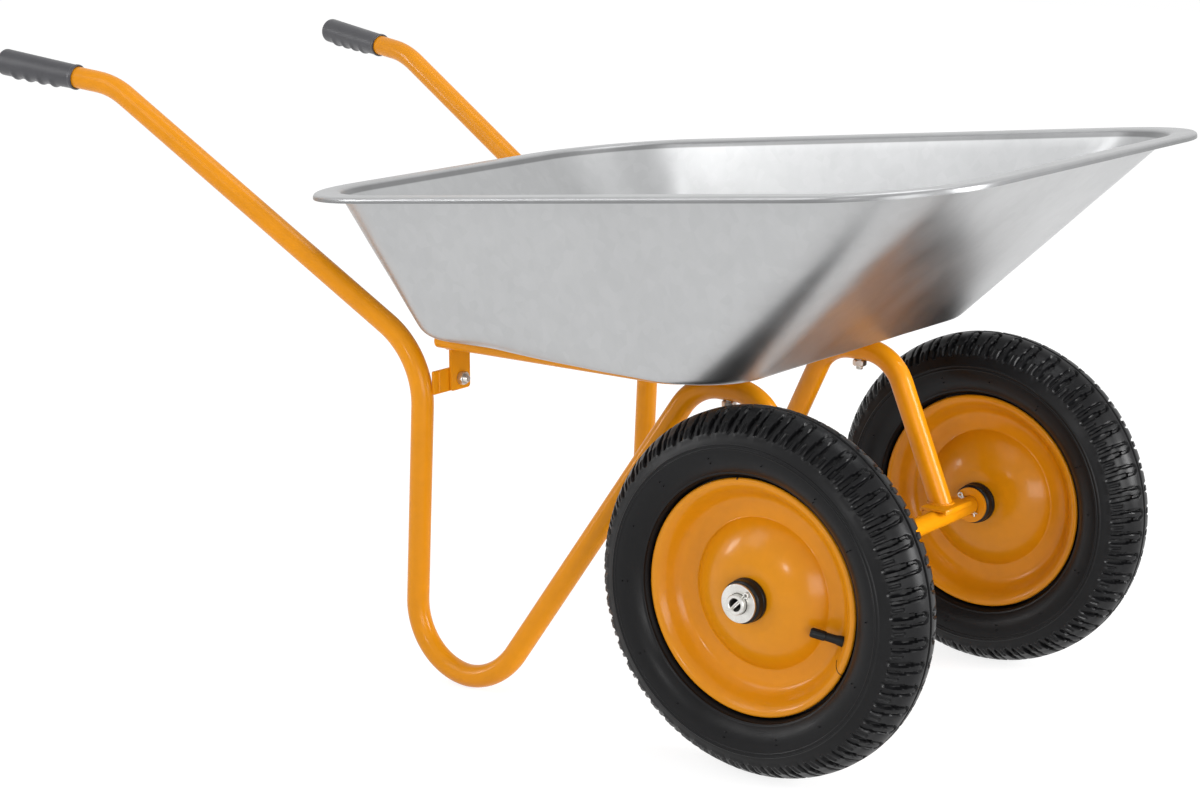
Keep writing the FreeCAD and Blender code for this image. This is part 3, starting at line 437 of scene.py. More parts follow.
def outline(rear, front, rear_half, front_half, rear_radius, front_radius):
    """Points round a tapered rectangle with rounded corners."""
    arc, side = 16, 22
    corners = [((front, front_half), front_radius), ((rear, rear_half), rear_radius),
               ((rear, -rear_half), rear_radius), ((front, -front_half), front_radius)]
    arcs = []
    for i, (corner, radius) in enumerate(corners):
        here = Vector(corner)
        back = (Vector(corners[i - 1][0]) - here).normalized()
        on = (Vector(corners[(i + 1) % 4][0]) - here).normalized()
        half = back.angle(on) / 2
        middle = here + (back + on).normalized() * radius / math.sin(half)
        reach = radius / math.tan(half)
        start, end = here + back * reach - middle, here + on * reach - middle
        swing = start.angle_signed(end)
        arcs.append([middle + Matrix.Rotation(-swing * k / arc, 2) @ start for k in range(arc + 1)])
    line = []
    for i, points in enumerate(arcs):
        line += points
        ahead = arcs[(i + 1) % 4][0]
        line += [points[-1].lerp(ahead, k / side) for k in range(1, side)]
    return line


def tray_section(foot, wall, lip):
    """The outer skin's line from the floor up the wall and over the lip at one place."""
    base = Vector((foot.x, foot.y, FLOOR_Z))
    top = Vector((wall.x, wall.y, rim_plane(wall.x)))
    edge = Vector((lip.x, lip.y, rim_plane(lip.x)))
    top_rounding, edge_rounding = 4, 2.5
    up, down = (top - base).normalized(), Vector((0, 0, -1))
    outward = Vector((up.x, up.y, 0)).normalized()
    reach = FLOOR_ROUNDING * math.tan(outward.angle(up) / 2)
    flange = (edge - top).normalized()
    wall_start, wall_end = base + up * reach, top - up * top_rounding
    flange_start, flange_end = top + flange * top_rounding, edge - flange * edge_rounding
    line = curve(base - outward * reach, base, wall_start, 9)
    line += [wall_start.lerp(wall_end, k / 12) for k in range(1, 12)]
    line += curve(wall_end, top, flange_start, 5)
    line += [flange_start.lerp(flange_end, k / 4) for k in range(1, 4)]
    line += curve(flange_end, edge, edge + down * edge_rounding, 4)
    line.append(edge + down * (LIP_DROP - SHEET))
    return [Vector(p) for p in line]


def build_tray():
    feet, walls, lips = outline(**FLOOR), outline(**WALL), outline(**LIP)
    sections = [tray_section(*places) for places in zip(feet, walls, lips)]
    rows = [[section[k] for section in sections] for k in range(len(sections[0]))]
    middle = Vector(((FLOOR["rear"] + FLOOR["front"]) / 2, 0, FLOOR_Z))
    inner = [[middle.lerp(p, s) for p in rows[0]]
             for s in (0.02, 0.12, 0.24, 0.36, 0.48, 0.6, 0.71, 0.81, 0.9, 0.96)]
    rows = inner + rows
    width = len(rows[0])

    def normal(j, i):
        down = rows[min(j + 1, len(rows) - 1)][i] - rows[max(j - 1, 0)][i]
        round_it = rows[j][(i + 1) % width] - rows[j][i - 1]
        return round_it.cross(down).normalized()

    # Pressed sheet is never quite flat: low soft waves, less of them where the rim stiffens it.
    least, free_depth, elsewhere = 0.12, 60, Vector((9, 3, 5))
    skin = []
    for j, row in enumerate(rows):
        made = []
        for i, p in enumerate(row):
            hold = min(1.0, max(least, (rim_plane(p.x) - p.z) / free_depth))
            wave = 0.75 * noise.noise(p * 0.0085) + 0.35 * noise.noise(p * 0.021 + elsewhere)
            made.append(p + normal(j, i) * wave * hold)
        skin.append(made)
    inside = [[skin[j][i] - normal(j, i) * SHEET for i in range(width)] for j in range(len(rows))]
    Shape().rows(skin + inside[::-1], start_cap=True, end_cap=True).piece(
        "tray_shell", "barrow", "galvanised_sheet", "tray", sharp=50)


# ---------------------------------------------------------------- frame

def frame_path(sign):
    """From the grip's end down the handle, round the leg's foot, and over the arch."""
    arch_z = ARCH_FRONT[1]
    corners = [GRIP_END, GRIP_BEND, (-46, 201, 352), (-63, 201, 12), (49, 201, 12),
               (248, ARCH_SPREAD, arch_z), (ARCH_FRONT[0], ARCH_SPREAD, arch_z),
               (395.0, ARCH_SPREAD, 187.8)]
    return bent([(x, sign * y, z) for x, y, z in corners], [95, 95, 70, 70, 50, 50])


def frame_beads(sign):
    """The welds of one side: the tube's foot on the saddle, the two straps and the cross tube."""
    beads = Shape()
    clear = 0.3
    middle = ARCH_FRONT[0] + FRONT_SLOPE * (ARCH_FRONT[1] - SADDLE_TOP)
    half_length = FRAME_RADIUS * math.hypot(1, FRONT_SLOPE) + clear
    ring = [(middle + half_length * math.cos(a),
             sign * (ARCH_SPREAD + (FRAME_RADIUS + clear) * math.sin(a)), SADDLE_TOP + 0.2)
            for a in (TURN * k / 40 for k in range(41))]
    weld(beads, ring, 1.5)
    # The leg strap's end on the leg, in front and behind.
    for x in (-38.6, -35.2):
        weld(beads, [(x, sign * 189.6, 311.5), (x, sign * 189.2, 323), (x, sign * 189.6, 334.5)], 1.5)
    # The hanging strap on the cross tube.
    weld(beads, [(-32.0, sign * 144, 366.2), (-32.0, sign * 172, 366.2)], 1.6)
    # The cross tube on the rail, where two round tubes meet in a saddle-shaped line.
    bead_radius = RAIL_RADIUS + 0.2
    joint = [(CROSS_X + bead_radius * math.cos(a),
              sign * (RAIL_SPREAD - bead_radius * math.sqrt(math.cos(a) ** 2 + 0.01)),
              RAIL_Z + bead_radius * math.sin(a))
             for a in (math.radians(d) for d in range(150, 391, 8))]
    weld(beads, joint, 1.2)
    return beads


def build_frame():
    for side, sign in SIDES.items():
        shape = tube(Shape(), frame_path(sign), FRAME_RADIUS, 40)
        # The front end is cut level, just below the saddle's top face.
        shape.points = [(x - FRONT_SLOPE * (TUBE_CUT - z), y, TUBE_CUT) if x > 360 and z < TUBE_CUT
                        else (x, y, z) for x, y, z in shape.points]
        shape.piece(f"{side}_frame_tube_skin", "barrow", "frame_paint", f"{side}_frame_tube")
        frame_beads(sign).piece(f"{side}_weld_beads", "barrow", "frame_paint")


def build_support():
    corners = [(RAIL_REAR, RAIL_SPREAD, RAIL_Z), (HOOP_FRONT, RAIL_SPREAD, RAIL_Z),
               (HOOP_FRONT, -RAIL_SPREAD, RAIL_Z), (RAIL_REAR, -RAIL_SPREAD, RAIL_Z)]
    tube(Shape(), bent(corners, [45, 45]), RAIL_RADIUS, 32).piece(
        "tray_support_hoop_skin", "barrow", "frame_paint", "tray_support_hoop", sharp=50)
    tube(Shape(), [(CROSS_X, y, RAIL_Z) for y in (-185, -90, 0, 90, 185)], RAIL_RADIUS, 32).piece(
        "rear_cross_tube_skin", "barrow", "frame_paint", "rear_cross_tube")


def strap(x, low, high, reach):
    """A flat bar across X, from corner low to corner high, with rounded corners and slightly
    rounded edges."""
    edge = 0.5
    (y0, z0), (y1, z1) = low, high
    flat = soften([(y0, z0), (y1, z0), (y1, z1), (y0, z1)], reach, 5, closed=True)
    middle = ((y0 + y1) / 2, (z0 + z1) / 2)

    def ring(at, shrink):
        row = []
        for y, z in flat:
            way = Vector((middle[0] - y, middle[1] - z))
            move = way.normalized() * shrink
            row.append((at, y + move.x, z + move.y))
        return row

    return Shape().rows([ring(x, edge), ring(x + edge, 0), ring(x + STRAP_THICKNESS - edge, 0),
                         ring(x + STRAP_THICKNESS, edge)], start_cap=True, end_cap=True)


def build_straps():
    for side, sign in SIDES.items():
        low = (sign * STRAP_INNER, STRAP_LOW)
        strap(HANGING_STRAP_X, low, (sign * 173.5, 372.7), 4.0).piece(
            f"{side}_hanging_strap_skin", "barrow", "frame_paint", f"{side}_hanging_strap")
        strap(LEG_STRAP_X, low, (sign * 198, 335.5), 1.5).piece(
            f"{side}_leg_strap_skin", "barrow", "frame_paint", f"{side}_leg_strap")


def build_saddles():
    """Short plates with turned-down lips that sit on the axle and carry the tubes' ends."""
    lip, thick, half, low_y, high_y, edge = 2.0, 3.0, 16.0, 96.0, 150.0, 0.5
    under, foot = SADDLE_TOP - thick, SADDLE_TOP - thick - lip
    middle_z, half_z = 193, 3
    section = soften([(-half, foot), (-half, SADDLE_TOP), (half, SADDLE_TOP), (half, foot)], 2.2, 6)
    section += soften([(half - thick, foot), (half - thick, under), (thick - half, under),
                       (thick - half, foot)], 1.0, 4)
    for side, sign in SIDES.items():
        def row(y, shrink):
            """The section at y, drawn in a little all round at the plate's edge."""
            return [(AXLE_X + x * (1 - shrink / half), sign * y, z - shrink * (z - middle_z) / half_z)
                    for x, z in section]

        Shape().rows([row(low_y, edge), row(low_y + edge, 0), row(high_y - edge, 0), row(high_y, edge)],
                     start_cap=True, end_cap=True).piece(
            f"{side}_axle_saddle_skin", "barrow", "frame_paint", f"{side}_axle_saddle", sharp=50)


# ---------------------------------------------------------------- grips

GRIP_LENGTH, GRIP_END_WALL, GRIP_STEPS = 110, 4, 56
FIRST_RIDGE, RIDGE_SPACING, RIDGE_WIDTH, RIDGE_HEIGHT = 27, 18, 3.6, 2.3


def grip_profile():
    """From the closed end to the collar and a short way back inside, in steps of about 1 mm."""
    line = soften([(0.01, 0), (9.5, 0.2), (15, 6.5), (13.55, 105.6), (14.3, 106.2), (14.3, 109.6),
                   (13.6, GRIP_LENGTH), (12.15, GRIP_LENGTH), (12.15, 96)], 1.6, 5)
    fine = []
    for a, b in zip(line, line[1:]):
        count = max(1, int(math.dist(a, b)))
        fine += [between(a, b, k / count) for k in range(count)]
    return fine + [line[-1]]


def build_grips():
    for side, sign in SIDES.items():
        start, end = (Vector((x, sign * y, z)) for x, y, z in (GRIP_END, GRIP_BEND))
        axis = (end - start).normalized()
        u, v = across(axis)

        def ridged(radius, along, angle):
            """Low ribs under the fingers, highest at the very bottom."""
            down = -(u * math.cos(angle) + v * math.sin(angle)).z
            if radius < 13 or along > GRIP_LENGTH - 6 or along < 4:
                return radius
            rib = sum(math.exp(-((along - FIRST_RIDGE - RIDGE_SPACING * k) / RIDGE_WIDTH) ** 2)
                      for k in range(4))
            return radius + RIDGE_HEIGHT * rib * max(0.0, down - 0.25) / 0.75

        shape = turned(Shape(), start - axis * GRIP_END_WALL, axis, grip_profile(), GRIP_STEPS, ridged)
        shape.faces.append(tuple(reversed(range(GRIP_STEPS))))
        shape.piece(f"{side}_grip_skin", "barrow", "grip_plastic", f"{side}_grip", sharp=55)


# ---------------------------------------------------------------- bolts

def fastener(shape, name):
    shape.piece(f"{name}_skin", "barrow", "zinc_fasteners", name, sharp=30)


def build_tray_bolts():
    """Bolts down through the tray's floor: heads inside it, washers and nuts below the tubes."""
    head, shank, washer = 380.5, 380.4, 378.7
    washers, nuts = Shape(), Shape()
    ring = soften([(4.2, 0), (8, 0), (8, 1.6), (4.2, 1.6)], 0.35, 3, closed=True) + [(4.2, 0.3)]
    for name, x, y, nut_top in (("front", HOOP_FRONT, ARCH_SPREAD, 336.3), ("rear", CROSS_X, 105, 360.5)):
        bolts = Shape()
        for sign in (1, -1):
            hexagon(bolts, (x, sign * y, head), (0, 0, 1), HEAD_HEIGHT)
            turned(bolts, (x, sign * y, shank), (0, 0, -1),
                   [(SHANK_RADIUS, 0), (SHANK_RADIUS, shank - nut_top)], 24, caps=True)
            thread(bolts, (x, sign * y, nut_top), (0, 0, -1))
            turned(washers, (x, sign * y, washer), (0, 0, 1), ring, 40)
            hexagon(nuts, (x, sign * y, nut_top), (0, 0, -1), NUT_HEIGHT, THREAD_RADIUS)
        fastener(bolts, f"{name}_tray_bolts")
    fastener(washers, "tray_bolt_washers")
    fastener(nuts, "tray_bolt_nuts")


def build_strap_bolts():
    """Bolts forward through the two straps, from the leg strap's rear face."""
    head_x, nut_x, shank_length = -38.6, -32, 7
    bolts, nuts = Shape(), Shape()
    for sign in (1, -1):
        head, nut = ((x, sign * STRAP_BOLT_Y, STRAP_BOLT_Z) for x in (head_x, nut_x))
        hexagon(bolts, head, (-1, 0, 0), HEAD_HEIGHT)
        turned(bolts, head, (1, 0, 0), [(SHANK_RADIUS, 0), (SHANK_RADIUS, shank_length)], 24, caps=True)
        thread(bolts, nut, (1, 0, 0))
        hexagon(nuts, nut, (1, 0, 0), NUT_HEIGHT, THREAD_RADIUS)
    fastener(bolts, "strap_bolts")
    fastener(nuts, "strap_nuts")


# ---------------------------------------------------------------- axle

def build_axle():
    """The axle tube, painted with the frame between the wheels and bare where the wheels run."""
    painted, bare = Shape(), Shape()
    between_wheels = [(AXLE_RADIUS, 0), (AXLE_RADIUS, PAINTED_HALF), (AXLE_BORE, PAINTED_HALF)]
    end = [(AXLE_RADIUS, PAINTED_HALF), (AXLE_RADIUS, AXLE_HALF - 0.8), (AXLE_RADIUS - 0.6, AXLE_HALF),
           (AXLE_BORE + 0.6, AXLE_HALF), (AXLE_BORE, AXLE_HALF - 0.6), (AXLE_BORE, PAINTED_HALF)]
    for sign in (1, -1):
        turned(painted, (AXLE_X, 0, AXLE_Z), (0, sign, 0), between_wheels, 48)
        turned(bare, (AXLE_X, 0, AXLE_Z), (0, sign, 0), end, 48)
    painted.piece("axle_skin", "barrow", "frame_paint", "axle", sharp=30)
    bare.piece("axle_end_skin", "barrow", "zinc_fasteners", "axle", sharp=30)


def build_washers_and_pins():
    """On each side of each hub a washer, and a split pin that holds it.  The outer washers are
    bare and the inner ones painted."""
    hole, rim, near, far, pin_at = 10.3, 19, 42.3, 45.3, 47.6
    ring = soften([(hole, near), (rim, near), (rim, far), (hole, far)], 0.6, 4, closed=True)
    ring.append((hole, near + 0.6))
    outer, inner, pins = Shape(), Shape(), Shape()
    for side in (1, -1):
        hub = side * TRACK_HALF
        for washers, way in ((outer, side), (inner, -side)):
            turned(washers, (AXLE_X, hub, AXLE_Z), (0, way, 0), ring, 64)
            split_pin(pins, hub + way * pin_at, 1 if washers is outer else -1)
    outer.piece("outer_axle_washers_skin", "barrow", "zinc_fasteners", "axle_washers", sharp=30)
    inner.piece("inner_axle_washers_skin", "barrow", "frame_paint", "axle_washers", sharp=30)
    pins.piece("cotter_pins_skin", "barrow", "zinc_fasteners", "cotter_pins", sharp=60)


def split_pin(shape, y, forward):
    """A split pin through the axle, leaning to the front or the rear: an eye of half-round wire,
    two legs side by side, and their ends spread a little."""
    wire, eye, eye_height, tail = 0.95, 2.3, 14.6, -13.0
    ring = [(-eye * math.sin(a), eye_height - eye * math.cos(a)) for a in
            (math.radians(d) for d in range(30, 331, 12))]
    line = smooth_line([(-2.6, tail), (-1.5, tail + 1.6), (-0.95, tail + 4), (-0.95, 0)]
                       + ring + [(0.95, 0), (0.95, tail + 4), (1.6, tail + 1.4), (2.9, tail + 0.4)], 3)
    lean = forward * math.radians(45)
    tube(shape, [(AXLE_X + x * math.cos(lean) + z * math.sin(lean), y,
                  AXLE_Z + z * math.cos(lean) - x * math.sin(lean)) for x, z in line], wire, 12)


# ---------------------------------------------------------------- wheels

def wheel_point(sign, radius, outward, angle):
    return (AXLE_X + radius * math.cos(angle), sign * (TRACK_HALF + outward),
            AXLE_Z + radius * math.sin(angle))


def wheel_rows(sign, profile, steps):
    return [[wheel_point(sign, r, out, TURN * i / steps) for i in range(steps)] for r, out in profile]


def rim_profile():
    """The pressed half rim's closed section: crown, dish, ledge, a wall that curves up to the
    flange, and the rolled edge."""
    face = [(19.3, 28), (29, 28)]
    face += soften([(29, 28)] + bow((31, 28), (75, 2.4), 68)[1:] + [(90.5, 2.0)], 3.5, 4)[1:-1]
    face += smooth_line([(83, 2.0), (89.4, 2.4), (94.2, 4.4), (98.2, 8.6), (101.4, 13.4), (104.4, 18.4),
                         (107.4, 22.2), (110.6, 24.8), (113.4, 25.8), (115.6, 25.2), (116.6, 23.6)], 4)
    back = [(116.2, 22.2), (114.4, 21.9), (111, 21.6), (106.4, 17.0), (102.8, 11.0), (98, 4.8),
            (92, 0.6), (75, 0.2)]
    return face + back + bow((75, 0.2), (30, 26), -66)[1:] + [(19.3, 26)]


def build_rims():
    profile = rim_profile()
    for side, sign in SIDES.items():
        for half, way in (("outer", 1), ("inner", -1)):
            rows = wheel_rows(sign, [(r, way * out) for r, out in profile + profile[:1]], 160)
            Shape().rows(rows).piece(f"{side}_rim_{half}_half_skin", f"{side}_wheel", "rim_paint",
                                     f"{side}_rim_{half}_half", sharp=45)
        # The rolled strip's butt joint shows as a fine dark line below the valve, and there is a
        # short nick in the flange near the wheel's top.
        seam = Shape()
        flange = smooth_line([(101.4, 13.5), (104.4, 18.5), (107.4, 22.3), (110.6, 24.9), (113.4, 25.9),
                              (115.6, 25.3), (116.6, 23.7)], 3)
        for degrees, first, thick in ((-28.0, 0, 0.4), (98.0, 14, 0.8)):
            tube(seam, [wheel_point(sign, r, out, math.radians(degrees + (116 - r) * 0.1))
                        for r, out in flange[first:]], thick, 6)
        seam.piece(f"{side}_rim_seam", f"{side}_wheel", "cap_plastic")


# The tyre's outer skin from the middle of its tread to its bead, as (radius, outward).
TYRE_LINE = smooth_line([
    (182, 0), (181.2, 7.5), (178.6, 15), (174, 22.6), (168.5, 29.2), (161, 35.8), (152.5, 39.9),
    (145, 41), (137, 39.8), (129.5, 36.3), (123, 30.6), (119.2, 24.4), (118.2, 18)], 14)
TYRE_REACH = [0.0]
for near, far in zip(TYRE_LINE, TYRE_LINE[1:]):
    TYRE_REACH.append(TYRE_REACH[-1] + math.dist(near, far))
# The tread repeats PITCHES times in a turn, and its relief ends TREAD_END from its middle.
PITCHES, STEPS, TREAD_END = 47, 24, 48.0
PITCH = TURN * TYRE_LINE[0][0] / PITCHES
# The sidewall's raised rings, as (radius, height, half width).
RINGS = ((150.6, 0.9, 0.7), (147.4, 0.8, 0.6), (122.2, 0.8, 0.7))


def tyre_skin(v, lift=0.0):
    """(radius, outward) at a distance v from the tread's middle, measured along the skin."""
    reach = min(abs(v), TYRE_REACH[-1] - 1e-6)
    k = bisect.bisect_right(TYRE_REACH, reach) - 1
    a, b = TYRE_LINE[k], TYRE_LINE[k + 1]
    t = (reach - TYRE_REACH[k]) / (TYRE_REACH[k + 1] - TYRE_REACH[k])
    r, out = between(a, b, t)
    span = math.dist(a, b)
    normal = ((b[1] - a[1]) / span, (a[0] - b[0]) / span)
    r, out = r + normal[0] * lift, out + normal[1] * lift
    return r, math.copysign(out, v) if v else out


def ease(t):
    """0 to 1, smoothly, as t goes from 0 to 1."""
    t = min(1.0, max(0.0, t))
    return t * t * (3 - 2 * t)


def off_line(u, v, line):
    """The distance of a point from a line, which repeats every pitch."""
    best = math.inf
    for (u0, v0), (u1, v1) in zip(line, line[1:]):
        du, dv = u1 - u0, v1 - v0
        for turn in (-PITCH, 0.0, PITCH):
            t = ((u + turn - u0) * du + (v - v0) * dv) / (du * du + dv * dv)
            t = min(1.0, max(0.0, t))
            best = min(best, math.hypot(u + turn - u0 - t * du, v - v0 - t * dv))
    return best


# Places in one pitch of the tread, as (along the tyre, away from its middle).
HOOK = smooth_line([(16.4, 19.0), (16.6, 10.5), (14.8, 6.2), (11.6, 4.9), (8.6, 6.6), (7.4, 11.0),
                    (7.0, 23.0)], 4)
NOTCH = [(16.2, 18.0), (16.6, 40.0)]
SMALL_NOTCH = [(6.6, 24.0), (6.8, 40.0)]


def relief(u, v):
    """The tread's height over the skin: a smooth middle rib with a hook-shaped cut in each pitch,
    and a wide and a narrow lug that run down the shoulder between deep notches."""
    along = 0.5 * (PITCH - abs(abs(u - 11.6) * 2 - PITCH))
    # Each cut is (depth, half its floor's width, the point's distance from its line).
    cuts = [(2.4, 1.0, v), (2.6, 0.8 + 0.3 * ease((u - 12) / 4), off_line(u, v, HOOK)),
            (4.2 - 1.2 * ease((v - 30) / 10), 1.3 + 1.2 * ease((v - 17) / 9), off_line(u, v, NOTCH)),
            (3.0, 0.8 + 0.8 * ease((v - 25) / 8), off_line(u, v, SMALL_NOTCH))]
    height = -max(depth * ease(half + 1.0 - off) for depth, half, off in cuts)
    swell = 1.3 * ease((v - 22) / 14)
    pocket = 1.5 * ease((1.9 - off_line(u, v, [(23.9, 31.0), (23.9, 40.0)])) / 1.2)
    low = 0.7 * ease((v - 30) / 6) * ease((4.6 - along) / 1.5)
    return (height + swell - pocket - low) * ease((TREAD_END - v) / 8)


def tread_stations():
    """Distances from the tread's middle at which its relief is sampled."""
    fine_end, fine_step, coarse_step = 32, 0.95, 1.7
    stations = [0.0, 1.1, 1.9]
    while stations[-1] < TREAD_END + 1:
        stations.append(stations[-1] + (fine_step if stations[-1] < fine_end else coarse_step))
    return stations


def tyre_body(sign):
    """The tyre's whole skin: the tread, then plain sidewalls with fine raised rings."""
    shape = Shape()
    tread = tread_stations()
    columns = PITCHES * STEPS
    cells = [[relief(PITCH * (k + 0.5) / STEPS, v) for k in range(STEPS)] for v in tread]
    rows = []
    for way in (-1, 1):
        side = []
        for v, heights in zip(tread, cells):
            if way < 0:
                heights = heights[::-1]
            places = [tyre_skin(way * v, h) for h in heights]
            side.append([wheel_point(sign, *places[k % STEPS], TURN * (k + 0.5) / columns)
                         for k in range(columns)])
        rows = side[:0:-1] if way < 0 else rows + side
    shape.rows(rows)

    coarse = 8
    around = columns // coarse
    for way in (-1, 1):
        v, line = tread[-1], []
        while v < TYRE_REACH[-1]:
            r = tyre_skin(v)[0]
            rings = sum(high * math.exp(-((r - ring) / half) ** 2) for ring, high, half in RINGS)
            line.append(tyre_skin(way * v, rings if line else 0.0))
            v += 0.45 if 145 < r < 153 or r < 126 else 1.6
        line.append(tyre_skin(way * (TYRE_REACH[-1] - 0.001)))
        first = len(shape.points)
        shape.rows([[wheel_point(sign, r, out, TURN * (coarse * k + 0.5) / columns)
                     for k in range(around)] for r, out in line[1:]])
        edge = (len(rows) - 1) * columns if way > 0 else 0
        for k in range(around):
            there = (k + 1) % around
            shape.faces.append(tuple(edge + (coarse * k + i) % columns for i in range(coarse + 1))
                               + (first + there, first + k))
    return shape


def build_nubs(shape, sign):
    """The short hairs of rubber that a mould's vents leave on the sidewalls."""
    for way in (1, -1):
        for n in range(14):
            angle = TURN * (n + 0.25 * random.random()) / 14
            for radius in (134.5, 139.5) if n % 3 else (137.0,):
                v = next(reach for reach, (r, _) in zip(TYRE_REACH, TYRE_LINE) if r <= radius)
                foot = Vector(wheel_point(sign, *tyre_skin(way * v, -0.4), angle))
                tip = Vector(wheel_point(sign, *tyre_skin(way * v, 1.7), angle + 0.004))
                tube(shape, [foot, foot.lerp(tip, 0.6), tip], 0.55, 8)


def build_tyres():
    for side, sign in SIDES.items():
        shape = tyre_body(sign)
        build_nubs(shape, sign)
        shape.piece(f"{side}_tyre_skin", f"{side}_wheel", "tyre_rubber", f"{side}_tyre", sharp=34)


def build_valves():
    """A rubber stem as thick as a pencil, with a short ribbed cap."""
    tilt, angle = math.radians(28), -math.radians(17)
    for side, sign in SIDES.items():
        def on_line(reach):
            return Vector(wheel_point(sign, 95 - reach * math.cos(tilt), 9 + reach * math.sin(tilt), angle))

        axis = (on_line(29) - on_line(0)).normalized()
        stem, cap = Shape(), Shape()
        turned(stem, on_line(0), axis, soften([(0.01, -6), (5.4, -6), (5.0, 1.0), (4.2, 4.0), (4.0, 16),
                                               (0.01, 16)], 0.8, 3), 32)
        stem.piece(f"{side}_valve_stem_skin", f"{side}_wheel", "tube_rubber", f"{side}_valve_stem")

        def ribs(radius, along, turn):
            return radius - (0.25 * (math.cos(turn * 18) < -0.2) if 16.0 < along < 27 and radius > 4 else 0)

        line = soften([(0.01, 14), (4.4, 14), (4.75, 15), (4.75, 27.5), (3.6, 29), (0.01, 29)], 0.7, 3)
        turned(cap, on_line(0), axis, line, 90, ribs)
        cap.piece(f"{side}_valve_cap_skin", f"{side}_wheel", "cap_plastic", f"{side}_valve_cap")


def build_caps():
    """The plastic covers round the axle on both faces of each hub."""
    line = soften([(10.6, 40), (10.6, 42), (17.6, 42), (19.2, 41.4), (21, 40), (21, 33.2),
                   (21.7, 32.6), (21.7, 29), (21, 28.4), (19.1, 28.4)], 0.6, 4)
    for side, sign in SIDES.items():
        shape = Shape()
        for way in (1, -1):
            shape.rows(wheel_rows(sign, [(r, way * out) for r, out in line], 72))
        shape.piece(f"{side}_dust_caps_skin", f"{side}_wheel", "cap_plastic", f"{side}_dust_caps", sharp=30)


# ---------------------------------------------------------------- studio

def build_world():
    """White to the eye and in reflections; its light on the object is plain and even, a little
    stronger from above."""
    world = bpy.data.worlds.new("studio")
    scene.world = world
    world.use_nodes = True
    tree = world.node_tree
    tree.nodes.clear()
    height = put(tree, "ShaderNodeSeparateXYZ",
                 Vector=put(tree, "ShaderNodeTexCoord").outputs["Generated"]).outputs["Z"]
    glow = put(tree, "ShaderNodeMapRange", {"interpolation_type": "SMOOTHSTEP"}, Value=height,
               From_Min=-0.1, From_Max=0.9, To_Min=0.45, To_Max=0.72).outputs["Result"]
    lit = put(tree, "ShaderNodeBackground", Color=(1, 1, 1, 1), Strength=glow)
    seen = put(tree, "ShaderNodeBackground", Color=(1, 1, 1, 1), Strength=1.0)
    mix = put(tree, "ShaderNodeMixShader", Fac=shown(tree))
    tree.links.new(lit.outputs[0], mix.inputs[1])
    tree.links.new(seen.outputs[0], mix.inputs[2])
    put(tree, "ShaderNodeOutputWorld", Surface=mix.outputs[0])


def shown(tree):
    """1 for a ray from the camera, a reflection or glass, which see the white background."""
    path = put(tree, "ShaderNodeLightPath").outputs
    mirrored = larger(tree, path["Is Camera Ray"], path["Is Glossy Ray"])
    return larger(tree, mirrored, path["Is Transmission Ray"])


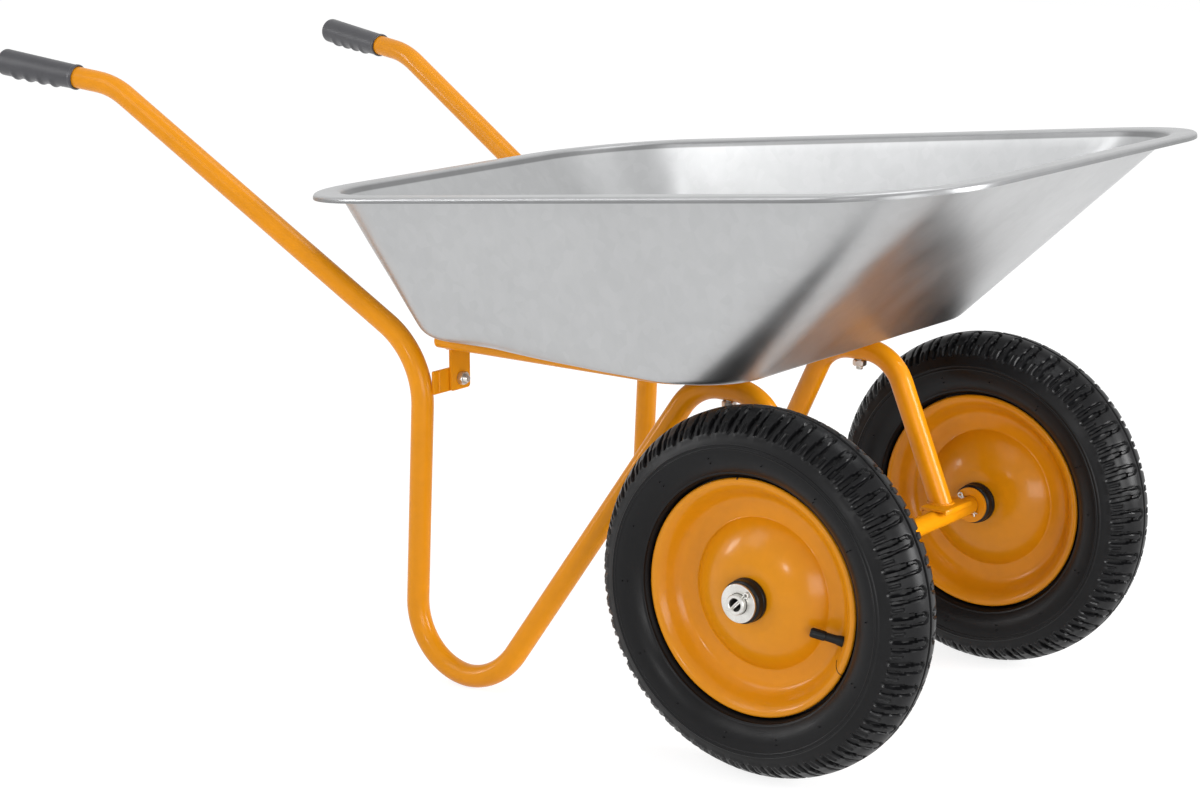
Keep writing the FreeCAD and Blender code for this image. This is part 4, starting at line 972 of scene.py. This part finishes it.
def build_floor():
    """A pale floor that looks white and keeps the object's shadow."""
    reach = 9.0
    mesh = bpy.data.meshes.new("studio_floor")
    mesh.from_pydata([(x * reach, y * reach, -0.0006) for x, y in ((-1, -1), (1, -1), (1, 1), (-1, 1))],
                     [], [(0, 1, 2, 3)])
    material = bpy.data.materials.new("studio_floor")
    material.use_nodes = True
    tree = material.node_tree
    tree.nodes.clear()
    matt = put(tree, "ShaderNodeBsdfDiffuse", Color=(0.85, 0.85, 0.85, 1))
    shade = put(tree, "ShaderNodeBsdfDiffuse", Color=(0.30, 0.30, 0.30, 1))
    white = put(tree, "ShaderNodeEmission", Color=(1, 1, 1, 1), Strength=0.82)
    pale = put(tree, "ShaderNodeAddShader")
    mix = put(tree, "ShaderNodeMixShader", Fac=shown(tree))
    for start, end in ((shade, pale.inputs[0]), (white, pale.inputs[1]), (matt, mix.inputs[1]),
                       (pale, mix.inputs[2])):
        tree.links.new(start.outputs[0], end)
    put(tree, "ShaderNodeOutputMaterial", Surface=mix.outputs[0])
    mesh.materials.append(material)
    floor = bpy.data.objects.new("studio_floor", mesh)
    scene.collection.objects.link(floor)


def lamp(name, place, target, size, power):
    data = bpy.data.lights.new(name, "AREA")
    data.shape = "RECTANGLE" if isinstance(size, tuple) else "DISK"
    data.size = size[0] if isinstance(size, tuple) else size
    if isinstance(size, tuple):
        data.size_y = size[1]
    data.energy = power
    made = bpy.data.objects.new(name, data)
    scene.collection.objects.link(made)
    made.location = place
    made.rotation_euler = (Vector(target) - Vector(place)).to_track_quat("-Z", "Y").to_euler()


def build_studio():
    build_world()
    build_floor()
    lamp("side_softbox", (-2.25, -1.7, 1.2), (0.35, -0.2, 0.25), (0.3, 0.9), 17)
    lamp("overhead_strip", (-1.0, -1.95, 2.0), (0.35, -0.2, 0.25), (0.9, 1.2), 9)
    lamp("top_softbox", (0.3, 0.4, 3.2), (0.2, 0, 0.3), (1.6, 1.2), 18)
    lamp("front_lamp", (0.75, -2.9, 1.15), (0.35, -0.2, 0.25), 0.2, 8)
    lamp("right_softbox", (2.6, -1.7, 0.6), (0.4, 0, 0.25), (1.5, 1.0), 26)
    lamp("rear_softbox", (2.95, 0.8, 0.95), (0.45, -0.1, 0.25), (0.9, 1.2), 80)
    data = bpy.data.cameras.new("camera")
    camera = bpy.data.objects.new("camera", data)
    scene.collection.objects.link(camera)
    camera.location = (1.687, -2.167, 0.908)
    camera.rotation_euler = (math.radians(77.0), 0, math.radians(37.36))
    data.lens, data.sensor_width = 76.6, 36.0
    scene.camera = camera
    scene.view_settings.view_transform = "Standard"


# ---------------------------------------------------------------- all of it

for name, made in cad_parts.items():
    short = name.split("_", 1)[1] if name.startswith(("left_", "right_")) else name
    made.data.materials.clear()
    made.data.materials.append(MATERIALS[NODE_SLOTS.get(short, "frame_paint")])

build_tray()
build_frame()
build_support()
build_straps()
build_saddles()
build_grips()
build_tray_bolts()
build_strap_bolts()
build_axle()
build_washers_and_pins()
build_rims()
build_tyres()
build_valves()
build_caps()
build_studio()
